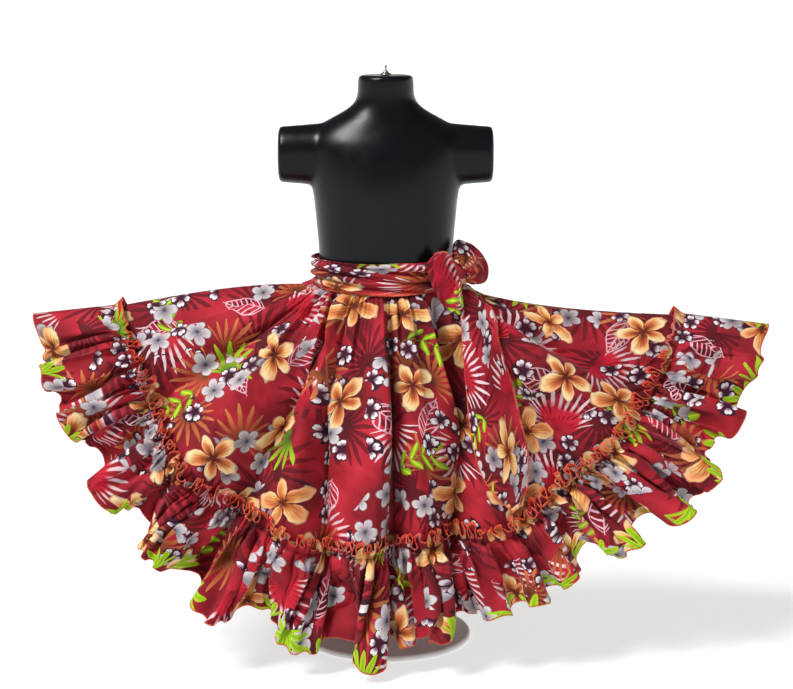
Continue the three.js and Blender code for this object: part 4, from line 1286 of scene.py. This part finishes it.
# %% [markdown]
# ## Palms, sprigs and leaves
# Leaves are drawn with the same trick in other directions: a palm repeats a leaflet in the angle
# round its stalk, and a sprig repeats a pair of leaves along its stem. Each motif returns a mask, and
# where it is of use, how far along and how far across a leaflet a point lies.

# %% Palms, sprigs and leaves
def palm(x, y, size, rays, spread, slender=0.48):
    """A fan of pointed leaflets. Returns its mask, how far out a point is, and where in a leaflet."""
    y = y + 0.42 * size
    bearing = x.angle_to(y)
    ray = bearing * (rays / spread)
    k = ray.nearest()
    f = ray - k
    reach = 1 - 0.28 * abs(bearing * (2 / spread)) + 0.09 * (k * 7.3).sin()
    t = (x * x + y * y).sqrt() / (reach * size)
    wide = slender * (1 - t).at_least(0.0) ** 0.6 + step(t, 0.3, 0.12)
    mask = (abs(f) < wide) * (abs(bearing) < spread / 2)
    return mask, t, f


def sprig(x, y, length, gap):
    """Pairs of slanting leaves on a stem. Returns its mask, and how far a point is from a midrib."""
    side = abs(x)
    slant = y - side * 0.85
    k = (slant / gap).nearest().at_least(-2.0).at_most(1.0)
    v = slant - k * gap
    leaf = 0.24 * length * (1 - 0.09 * abs(k - 0.5))
    t = side / leaf
    wide = gap * 0.33 * (t.at_most(1.0) ** 1.2 * math.pi).sin().at_least(0.0) ** 0.6
    leaves = (abs(v) < wide) * (t < 1.0)
    stem = (side < 0.0007) * (abs(y) < 2.4 * gap)
    return leaves.at_least(stem), abs(v) / (wide + 0.0001)


def drawn_leaf(x, y, length, wide, gap):
    """A leaf drawn as an outline with veins."""
    t = (y / length + 0.5).at_least(0.0).at_most(1.0)
    half = wide * (t ** 0.8 * math.pi).sin().at_least(0.0)
    side = abs(x)
    outline = abs(side - half) < 0.0009
    slant = (y - side * 0.9) / gap
    vein = abs(slant - slant.nearest()) < 0.13
    inside = (side < half) * (abs(y) < length / 2)
    midrib = (side < 0.0006) * (abs(y) < length * 0.55)
    return (vein * inside).at_least(outline * (half > 0.001)).at_least(midrib)


print("leaves:", [motif.__name__ for motif in (palm, sprig, drawn_leaf)])

# %% [markdown]
# ## The print as a node group
# The layers are laid one on another, the ground first and the large flowers nearly last. Each one is
# scattered at its own spacing, and only some of its places get a motif, so the print never looks like
# a grid. The small flowers also come in clumps, which a slow noise marks out. It is one node group,
# because the front and the reverse of the cloth share it.

# %% Draw the print
def make_print():
    tree = bpy.data.node_groups.new("tropical print", "ShaderNodeTree")
    for name, kind in (("Place", "Vector"), ("Green", "Float"), ("Border", "Float")):
        tree.interface.new_socket(name, in_out="INPUT", socket_type=f"NodeSocket{kind}")
    tree.interface.new_socket("Color", in_out="OUTPUT", socket_type="NodeSocketColor")
    place, green, border = (Wire(tree, s) for s in tree.nodes.new("NodeGroupInput").outputs[:3])
    place = wobbled(tree, wobbled(tree, place, 26.0, 0.006), 120.0, 0.0016)

    tone = noise(tree, place, 12.0, 6.0)
    colour = ramp(tone, (0.34, 114, 12, 24), (0.5, 150, 22, 36), (0.66, 180, 36, 52))

    # Palms in the ground's own dark red.
    x, y, two, three = scatter(tree, place, 0.105, 0.5, 3.1)
    mask, t, f = palm(x, y, 0.075, 15, 4.6)
    dark = ramp(t, (0.0, 54, 2, 12), (0.9, 100, 8, 24))
    colour = mixed(tree, mask * (two < 0.9) * 0.86, colour, dark)

    # Bright red palms whose leaflets have white streaks.
    x, y, two, three = scatter(tree, place, 0.125, 0.6, 8.3)
    mask, t, f = palm(x, y, 0.078, 14, 2.9)
    red = ramp(t, (0.0, 112, 8, 28), (0.4, 190, 18, 44), (1.0, 206, 50, 72))
    streaked = mixed(tree, step(abs(f), 0.3, 0.12) * step(t, 0.5, 0.66), red, rgb(222, 198, 204))
    colour = mixed(tree, mask * (two < 0.66) * 0.92, colour, streaked)

    # Small rust palms.
    x, y, two, three = scatter(tree, place, 0.118, 0.6, 5.7)
    mask, t, f = palm(x, y, 0.056, 12, 4.4, 0.42)
    rust = ramp(t, (0.0, 84, 30, 14), (0.4, 156, 78, 38), (1.0, 196, 114, 66))
    colour = mixed(tree, mask * (two < 0.55), colour, rust)

    # Leaves in white outline.
    x, y, two, three = scatter(tree, place, 0.125, 0.55, 12.9)
    lines = drawn_leaf(x, y, 0.064, 0.017, 0.0092)
    colour = mixed(tree, lines * (two < 0.5) * 0.92, colour, rgb(226, 176, 190))

    # Lime sprigs, and in other places of the same layer, green palms.
    x, y, two, three = scatter(tree, place, 0.165, 0.5, 17.3)
    mask, v = sprig(x + 6 * y * y, y, 0.095, 0.0205)
    lime = ramp(v, (0.0, 196, 214, 64), (0.3, 148, 184, 24), (1.0, 92, 126, 16))
    colour = mixed(tree, mask * (two < 0.42), colour, lime)
    mask, t, f = palm(x, y, 0.06, 9, 3.6, 0.5)
    palm_green = ramp(t, (0.0, 48, 80, 12), (0.4, 116, 158, 20), (1.0, 164, 190, 34))
    colour = mixed(tree, mask * (two > 0.86), colour, palm_green)

    # Two kinds of small flower, in clumps.
    x, y, two, three = scatter(tree, place, 0.047, 0.45, 41.7)
    clump = noise(tree, moved_by(tree, place, 5.0, 5.0), 11.0, 0.0) > 0.5
    mask, flower = eye_blossom(x, y, 0.0150, three)
    colour = mixed(tree, mask * (two < 0.7) * clump, colour, flower)
    x, y, two, three = scatter(tree, place, 0.050, 0.4, 31.1)
    clump = noise(tree, place, 8.5, 0.0) > 0.545
    mask, flower = blossom(x, y, 0.0215, three)
    colour = mixed(tree, mask * (two < 0.7) * clump, colour, flower)

    # Large flowers, each on a dark halo, and fewer of them along the border.
    x, y, two, three = scatter(tree, place, 0.118, 0.42, 23.9)
    chosen = two < 0.78 - 0.26 * border
    halo = step((x * x + y * y).sqrt(), 0.062, 0.03)
    colour = mixed(tree, halo * chosen * 0.45, colour, rgb(56, 6, 16))
    mask, flower = hibiscus(x, y, 0.0455, three)
    colour = mixed(tree, mask * chosen, colour, flower)

    # Large green leaves, only where they are asked for.
    x, y, two, three = scatter(tree, place, 0.085, 0.3, 51.3)
    mask, t, f = palm(x, y, 0.050, 8, 4.0, 0.62)
    leaf_green = ramp(abs(f) + 0.3 * t, (0.0, 88, 128, 12), (0.35, 146, 182, 18), (0.7, 172, 202, 36))
    colour = mixed(tree, mask * green * (two < 0.7), colour, leaf_green)

    added(tree, "NodeGroupOutput", {0: colour})
    print("tropical print:", len(tree.nodes), "nodes")
    return tree


PRINT = make_print()

# %% [markdown]
# ## The finish of the cloth
# Cotton is matt, with a faint bloom where it turns away from the eye, which is what Sheen is for. The
# weave is finer than the eye sees from across a room, so it is bump, and so is the smallest crumple.
# The reverse side shows the same print paler. Close to an overlocked edge the cloth disappears under
# orange-red thread: the `to_edge` attribute says how far away that edge is.

# %% Cotton, front and reverse
BORDER_CUT = (1.25, 1.5)  # metres: the stretch of the printed cloth that the flounces are cut from
BORDER_LEAVES = 0.034  # metres: how far up from the hem its large green leaves reach
STITCH, WEAVE = 0.0016, 0.0007  # metres from thread to thread


def new_material(name, numbers):
    """A material, its tree and its shader. numbers are set on the shader's sockets by name."""
    material = bpy.data.materials.new(name)
    material.use_nodes = True
    shader = material.node_tree.nodes["Principled BSDF"]
    for socket, value in numbers.items():
        shader.inputs[socket].default_value = value
    return material, material.node_tree, shader


def bumped(tree, shader, height, distance, strength):
    bump = added(tree, "ShaderNodeBump", {"Height": height, "Distance": distance, "Strength": strength})
    plug(tree, shader.inputs["Normal"], bump.outputs[0])


def make_cotton(name, fade):
    material, tree, shader = new_material(name, {"Roughness": 0.72, "Sheen Weight": 0.06,
                                                 "Sheen Roughness": 0.4, "Specular IOR Level": 0.2})
    place = Wire(tree, added(tree, "ShaderNodeUVMap", uv_map="cloth").outputs[0])
    edge = added(tree, "ShaderNodeAttribute", attribute_name="to_edge")
    apart = Wire(tree, edge.outputs["Fac"])
    split = added(tree, "ShaderNodeSeparateXYZ", {0: place})
    across, down = Wire(tree, split.outputs[0]), Wire(tree, split.outputs[1])
    border = (down > BORDER_CUT[0]) * (down < BORDER_CUT[1])
    leaves = border * (apart < BORDER_LEAVES) * (apart > 0.0)
    drawn = added(tree, "ShaderNodeGroup", node_tree=PRINT)
    for slot, value in enumerate((place, leaves, border)):
        plug(tree, drawn.inputs[slot], value)
    colour = Wire(tree, drawn.outputs[0])
    if fade:
        colour = mixed(tree, fade, colour, rgb(150, 66, 74))
    bars = (across * (TURN / STITCH)).sin() * 0.5 + 0.5
    uneven = noise(tree, place, 300.0, 1.0)
    thread = mixed(tree, bars * 0.7, rgb(186, 40, 28), rgb(236, 110, 66))
    band = apart < (0.0008 + 0.0018 * uneven)
    plug(tree, shader.inputs["Base Color"], mixed(tree, band * 0.8, colour, thread))
    weave = (across * (TURN / WEAVE)).sin() * (down * (TURN / WEAVE)).sin()
    crumple = noise(tree, place, 42.0, 4.0)
    bumped(tree, shader, weave * 0.03 + crumple + bars * band * 0.2, 0.0016, 0.85)
    return material


COTTON = make_cotton("printed_cotton_front", 0)
COTTON_REVERSE = make_cotton("printed_cotton_reverse", 0.3)
print("cotton:", len(COTTON.node_tree.nodes), "nodes, with the whole print as one of them")

# %% [markdown]
# ## Thread, plastic, metal and paint
# Nothing real has one even colour and one even gloss. Each of these finishes has a noise that moves
# its colour a little and its surface by a fraction of a millimetre, and all but the thread move their
# roughness a little too. They use object coordinates in metres, so the grain keeps its true size
# whatever the piece is.

# %% Thread, plastic, metal and paint
def started(name, numbers):
    """A new material, and object coordinates in metres to draw it by."""
    material, tree, shader = new_material(name, numbers)
    return material, tree, shader, added(tree, "ShaderNodeTexCoord").outputs["Object"]


def make_thread():
    material, tree, shader, place = started("overlock_thread", {"Roughness": 0.55, "Sheen Weight": 0.2})
    tone = noise(tree, place, 70.0, 3.0)
    colour = ramp(tone, (0.34, 168, 34, 24), (0.5, 228, 76, 44), (0.64, 250, 146, 102))
    plug(tree, shader.inputs["Base Color"], colour)
    bumped(tree, shader, noise(tree, place, 2600.0, 1.0), 0.0002, 0.6)
    return material


def make_plastic():
    material, tree, shader, place = started("form_black_plastic", {"Specular IOR Level": 0.2})
    tone = noise(tree, place, 14.0, 3.0)
    plug(tree, shader.inputs["Base Color"], ramp(tone, (0.3, 5, 6, 10), (0.7, 10, 11, 17)))
    plug(tree, shader.inputs["Roughness"], 0.2 + 0.2 * noise(tree, place, 55.0, 6.0))
    bumped(tree, shader, noise(tree, place, 420.0, 2.0) * 0.2 + tone, 0.0006, 0.35)
    return material


def make_metal(name, low, high, roughness, stretch):
    """Metal between two colours, brushed along the axis that stretch makes short."""
    material, tree, shader, place = started(name, {"Metallic": 1.0})
    mapping = added(tree, "ShaderNodeMapping", {"Vector": place, "Scale": stretch})
    drawn = noise(tree, mapping.outputs[0], 60.0, 5.0)
    plug(tree, shader.inputs["Base Color"], ramp(drawn, (0.3, *low), (0.7, *high)))
    plug(tree, shader.inputs["Roughness"], roughness - 0.08 + 0.16 * drawn)
    bumped(tree, shader, drawn, 0.0002, 0.3)
    return material


def make_paint():
    material, tree, shader, place = started("base_white_powder_coat", {})
    worn = noise(tree, place, 20.0, 5.0)
    plug(tree, shader.inputs["Base Color"], ramp(worn, (0.25, 222, 222, 220), (0.6, 240, 240, 238)))
    plug(tree, shader.inputs["Roughness"], 0.38 + 0.15 * worn)
    bumped(tree, shader, noise(tree, place, 700.0, 2.0), 0.0003, 0.3)
    return material


THREAD = make_thread()
PLASTIC = make_plastic()
BELL_METAL = make_metal("neck_bell_metal", (120, 116, 108), (190, 186, 176), 0.35, (1, 1, 1))
TUBE_METAL = make_metal("brushed_tube", (168, 168, 166), (222, 222, 220), 0.3, (1, 1, 0.05))
PAINT = make_paint()

cloth_pieces = [waistband, panel_front, panel_back, sash_wrap, knot, loop, short_end, long_end]
for made in flounces.values():
    cloth_pieces += [made["cloth"], made["frill"]]
for piece in cloth_pieces:
    piece.data.materials.append(COTTON)
    piece.data.materials.append(COTTON_REVERSE)
for piece, material in ((torso, PLASTIC), (finial, BELL_METAL), (pole, TUBE_METAL), (base, PAINT)):
    piece.data.materials.clear()
    piece.data.materials.append(material)
print("materials:", [m.name for m in bpy.data.materials])

# %% [markdown]
# ## Overlocked edges
# The hems, the tops of the frills, the lower edge of the sash and the edges of its two ends are
# overlocked in orange-red thread: a row of loops that wrap the raw edge every few millimetres. It is
# one small loop repeated along a path, so Geometry Nodes make it. The path carries a vector that
# points into the cloth, which turns each loop to lie round the edge, and a seed sets each one askew.

# %% The overlock tree
ASKEW = (0.25, 0.5, 0.15)  # radians by which a loop may be turned about each of its axes


def make_overlock_tree():
    tree = bpy.data.node_groups.new("overlock", "GeometryNodeTree")
    for name, kind in (("Geometry", "Geometry"), ("Spacing", "Float"), ("Reach", "Float"),
                       ("Thread", "Float"), ("Seed", "Int"), ("Material", "Material")):
        tree.interface.new_socket(name, in_out="INPUT", socket_type=f"NodeSocket{kind}")
    tree.interface.new_socket("Geometry", in_out="OUTPUT", socket_type="NodeSocketGeometry")
    given = tree.nodes.new("NodeGroupInput").outputs

    def out(kind, inputs, **settings):
        return added(tree, kind, inputs, **settings).outputs[0]

    path = out("GeometryNodeMeshToCurve", {0: given["Geometry"]})
    points = out("GeometryNodeResampleCurve", {"Curve": path, "Length": given["Spacing"]}, mode="LENGTH")
    # One stitch is a flattened ring of a thin strand.
    ring = out("GeometryNodeCurvePrimitiveCircle", {"Resolution": 6, "Radius": given["Reach"]})
    ring = out("GeometryNodeTransform", {"Geometry": ring, "Scale": (1.0, 0.5, 1.0)})
    strand = out("GeometryNodeCurvePrimitiveCircle", {"Resolution": 3, "Radius": given["Thread"]})
    stitch = out("GeometryNodeCurveToMesh", {"Curve": ring, "Profile Curve": strand})
    # It stands across the path, with its long side pointing into the cloth.
    tangent = out("GeometryNodeInputTangent", {})
    inward = out("GeometryNodeInputNamedAttribute", {"Name": "inward"}, data_type="FLOAT_VECTOR")
    turn = out("FunctionNodeAlignRotationToVector", {"Vector": tangent}, axis="Z")
    turn = out("FunctionNodeAlignRotationToVector", {"Rotation": turn, "Vector": inward}, axis="X",
               pivot_axis="Z")
    askew = out("FunctionNodeRandomValue", {"Min": [-v for v in ASKEW], "Max": ASKEW,
                                            "Seed": given["Seed"]}, data_type="FLOAT_VECTOR")
    askew = out("FunctionNodeEulerToRotation", {0: askew})
    turn = out("FunctionNodeRotateRotation", {"Rotation": turn, "Rotate By": askew}, rotation_space="LOCAL")
    stitches = out("GeometryNodeInstanceOnPoints", {"Points": points, "Instance": stitch, "Rotation": turn})
    real = out("GeometryNodeRealizeInstances", {0: stitches})
    painted = out("GeometryNodeSetMaterial", {"Geometry": real, "Material": given["Material"]})
    added(tree, "NodeGroupOutput", {0: painted})
    print("overlock:", len(tree.nodes), "nodes")
    return tree


OVERLOCK = make_overlock_tree()

# %% [markdown]
# ## Sewing along an edge
# `overlock` takes the edge's points and a row of points further in, which give the inward vector. It
# makes a bare path of them, sets the modifier's inputs by the identifiers of their sockets, and then
# keeps the result as a plain mesh, so that nothing has to be worked out again in the export.

# %% Overlock every edge
ON_EDGE = 0.55  # how far a loop's middle lies in from the edge, as a share of its reach
# For each kind of edge: spacing, reach and thickness of the thread in metres, and the seed.
STITCHES = {"hem": (0.0030, 0.0013, 0.00034, 5), "frill": (0.0030, 0.0010, 0.00032, 6),
            "sash": (0.0024, 0.0021, 0.00045, 7), "long_end": (0.0024, 0.0021, 0.00045, 8),
            "short_end": (0.0024, 0.0018, 0.00040, 9)}


def overlock(kind, name, *paths, closed=False):
    """Overlock stitches along paths. Each path is (edge points, points further in), in mm."""
    given = dict(zip(("Spacing", "Reach", "Thread", "Seed", "Material"), (*STITCHES[kind], THREAD)))
    points, inwards, edges = [], [], []
    for edge, further_in in paths:
        start = len(points)
        into = unit(further_in - edge)
        points.extend((edge + into * given["Reach"] * ON_EDGE / MM) * MM)
        inwards.extend(into)
        edges.extend((start + k, start + k + 1) for k in range(len(edge) - 1))
        if closed:
            edges.append((start + len(edge) - 1, start))
    mesh = bpy.data.meshes.new(name)
    mesh.from_pydata(np.array(points).tolist(), edges, [])
    inward = mesh.attributes.new("inward", "FLOAT_VECTOR", "POINT")
    inward.data.foreach_set("vector", np.array(inwards).ravel())
    piece = placed(name, mesh)
    modifier = piece.modifiers.new("overlock", "NODES")
    modifier.node_group = OVERLOCK
    for socket in OVERLOCK.interface.items_tree:
        if socket.name in given:
            modifier[socket.identifier] = given[socket.name]
    settled(piece)
    shade_smooth(piece.data)
    print(f"{name}: {len(piece.data.polygons)} faces of thread")
    return piece


threads = {}
for place, made in flounces.items():
    hem, top = (made["hem"], made["hem_up"]), (made["edge"], made["edge_up"])
    threads[f"hem_{place}"] = overlock("hem", f"overlock_hem_{place}", hem)
    threads[f"frill_{place}"] = overlock("frill", f"overlock_frill_{place}", top)
# The sash's upper edge is turned in, and so are the other edges of the short end.
threads["sash_round"] = overlock("sash", "overlock_sash_round", (sash_grid[:, -1], sash_grid[:, -3]),
                                 closed=True)
threads["long_end"] = overlock("long_end", "overlock_long_end", (long_grid[0], long_grid[2]),
                               (long_grid[:, -1], long_grid[:, -3]))
threads["short_end"] = overlock("short_end", "overlock_short_end", (short_grid[0], short_grid[2]))

# %% [markdown]
# ## Riding on the body
# Every piece rides on the part's one body. Each one stands for a solid, which then stays hidden. The
# threads stand for no solid, since they are too fine for one.

# %% Ride and replace
def declare(piece, slot, *nodes):
    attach(piece, "root")
    if nodes:
        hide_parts(*nodes)


declare(waistband, "printed_cotton", "waistband")
declare(panel_front, "printed_cotton", "panel_front")
declare(panel_back, "printed_cotton", "panel_back")
declare(sash_wrap, "printed_cotton", "sash_wrap")
declare(knot, "printed_cotton", "sash_knot")
declare(loop, "printed_cotton", "sash_loop")
declare(short_end, "printed_cotton", "sash_short_end")
declare(long_end, "printed_cotton", "sash_long_end")
for place, made in flounces.items():
    declare(made["cloth"], "printed_cotton", f"flounce_{place}")
    declare(made["frill"], "printed_cotton", f"flounce_{place}")
for piece in threads.values():
    declare(piece, "overlock_thread")
declare(torso, "form_plastic", "form_torso")
declare(finial, "finial_metal", "neck_finial")
declare(pole, "pole_metal", "stand_pole")
declare(base, "base_paint", "stand_base")
print("declared:", len(cloth_pieces), "pieces of cloth,", len(threads), "of thread, and the form's own")

# %% [markdown]
# ## The size of each sheet
# The panels are sectors and the others are strips. The panels and flounces printed their sizes when
# they were made, and the rest are measured on their finished grids and printed here. For a crushed
# strip that is only the part that shows between its creases.

# %% Sheets
def measured(grid, ring=False):
    """The mean length and width (m) of a grid of points."""
    closed = np.concatenate([grid, grid[:1]]) if ring else grid
    return run_lengths(closed, 0)[-1].mean() * MM, run_lengths(grid, 1)[:, -1].mean() * MM


for label, grid, ring in (("waistband", band_grid, True), ("sash", sash_grid, True),
                          ("knot", knot_grid, True), ("loop", loop_grid, False),
                          ("short end", short_grid, False), ("long end", long_grid, False)):
    length, width = measured(grid, ring)
    print(f"{label}: {length:.3f} x {width:.3f} m")
for place, panel in (("front", panel_front), ("back", panel_back)):
    made = flounces[place]

# %% [markdown]
# ## Camera
# The camera stands three metres away at a child's shoulder height and looks slightly down, so the
# front of the hem shows and the far hem hides behind it. A long lens keeps the fan from bulging.

# %% Camera
lens_camera = bpy.data.cameras.new("camera")
lens_camera.lens = 91.9
lens_camera.clip_end = 300
camera = placed("camera", lens_camera)
camera.location = (0.0158, -3.0, WAIST * MM + 0.475)
camera.rotation_euler = (math.radians(90 - 10.7), 0, 0)
bpy.context.scene.camera = camera
print("camera:", [round(v, 3) for v in camera.location], "m")

# %% [markdown]
# ## Light and floor
# One wide sun from the upper left gives the folds their form, and a weak, wider one from the right
# opens the shade. A real studio would use large soft boxes, but a sun lights every fold alike, near
# or far. The pale floor bends up into a wall far away and glows, as in a light tent, so the ground is
# almost white and the undersides of the folds get light from below.

# %% Light and floor
def soft_sun(name, place, spread, strength):
    """A sun seen through haze, so wide (degrees) that its shadows have soft edges."""
    lamp = bpy.data.lights.new(name, "SUN")
    lamp.angle = math.radians(spread)
    lamp.energy = strength
    light = placed(name, lamp)
    light.location = place
    x, y, up = place
    light.rotation_euler = (math.atan2(math.hypot(x, y), up), 0, math.atan2(y, x) + math.pi / 2)


soft_sun("key", (-2.4, -1.6, 3.9), 22, 4.0)
soft_sun("fill", (2.4, -2.8, 1.8), 60, 0.12)

world = bpy.data.worlds.new("studio")
world.use_nodes = True
world.node_tree.nodes["Background"].inputs[0].default_value = (1.0, 1.0, 1.0, 1)
world.node_tree.nodes["Background"].inputs[1].default_value = 0.13
bpy.context.scene.world = world
bpy.context.scene.view_settings.view_transform = "Standard"

COVE = [(45, 0), (52, 1), (57, 3.5), (60, 8), (61, 15)]  # the floor's rings: radius and height in metres
CORNERS = 64
corners = np.concatenate([oval(radius, radius, height, CORNERS) for radius, height in COVE])
faces = [tuple(range(CORNERS))]
for inner in range(0, CORNERS * (len(COVE) - 1), CORNERS):
    faces += band(inner + CORNERS, inner, CORNERS)
floor_mesh = bpy.data.meshes.new("floor")
floor_mesh.from_pydata(corners.tolist(), [], faces)
floor = placed("floor", floor_mesh)
floor_paint, _, floor_shader = new_material("pale_floor", {"Roughness": 0.9, "Emission Strength": 0.66})
floor_shader.inputs["Base Color"].default_value = (0.45, 0.45, 0.45, 1)
floor_shader.inputs["Emission Color"].default_value = (1.0, 1.0, 1.0, 1)
floor_mesh.materials.append(floor_paint)
print("floor:", len(faces), "faces, lamps:", [lamp.name for lamp in bpy.data.lights])

# %% [markdown]
# ## Triangles
# Last comes the count of triangles that show.

# %% Count the triangles, and finish
total = sum(len(p.vertices) - 2 for o in bpy.data.objects if o.type == "MESH" and not o.hide_render
            for p in o.data.polygons)
print("triangles shown:", total)
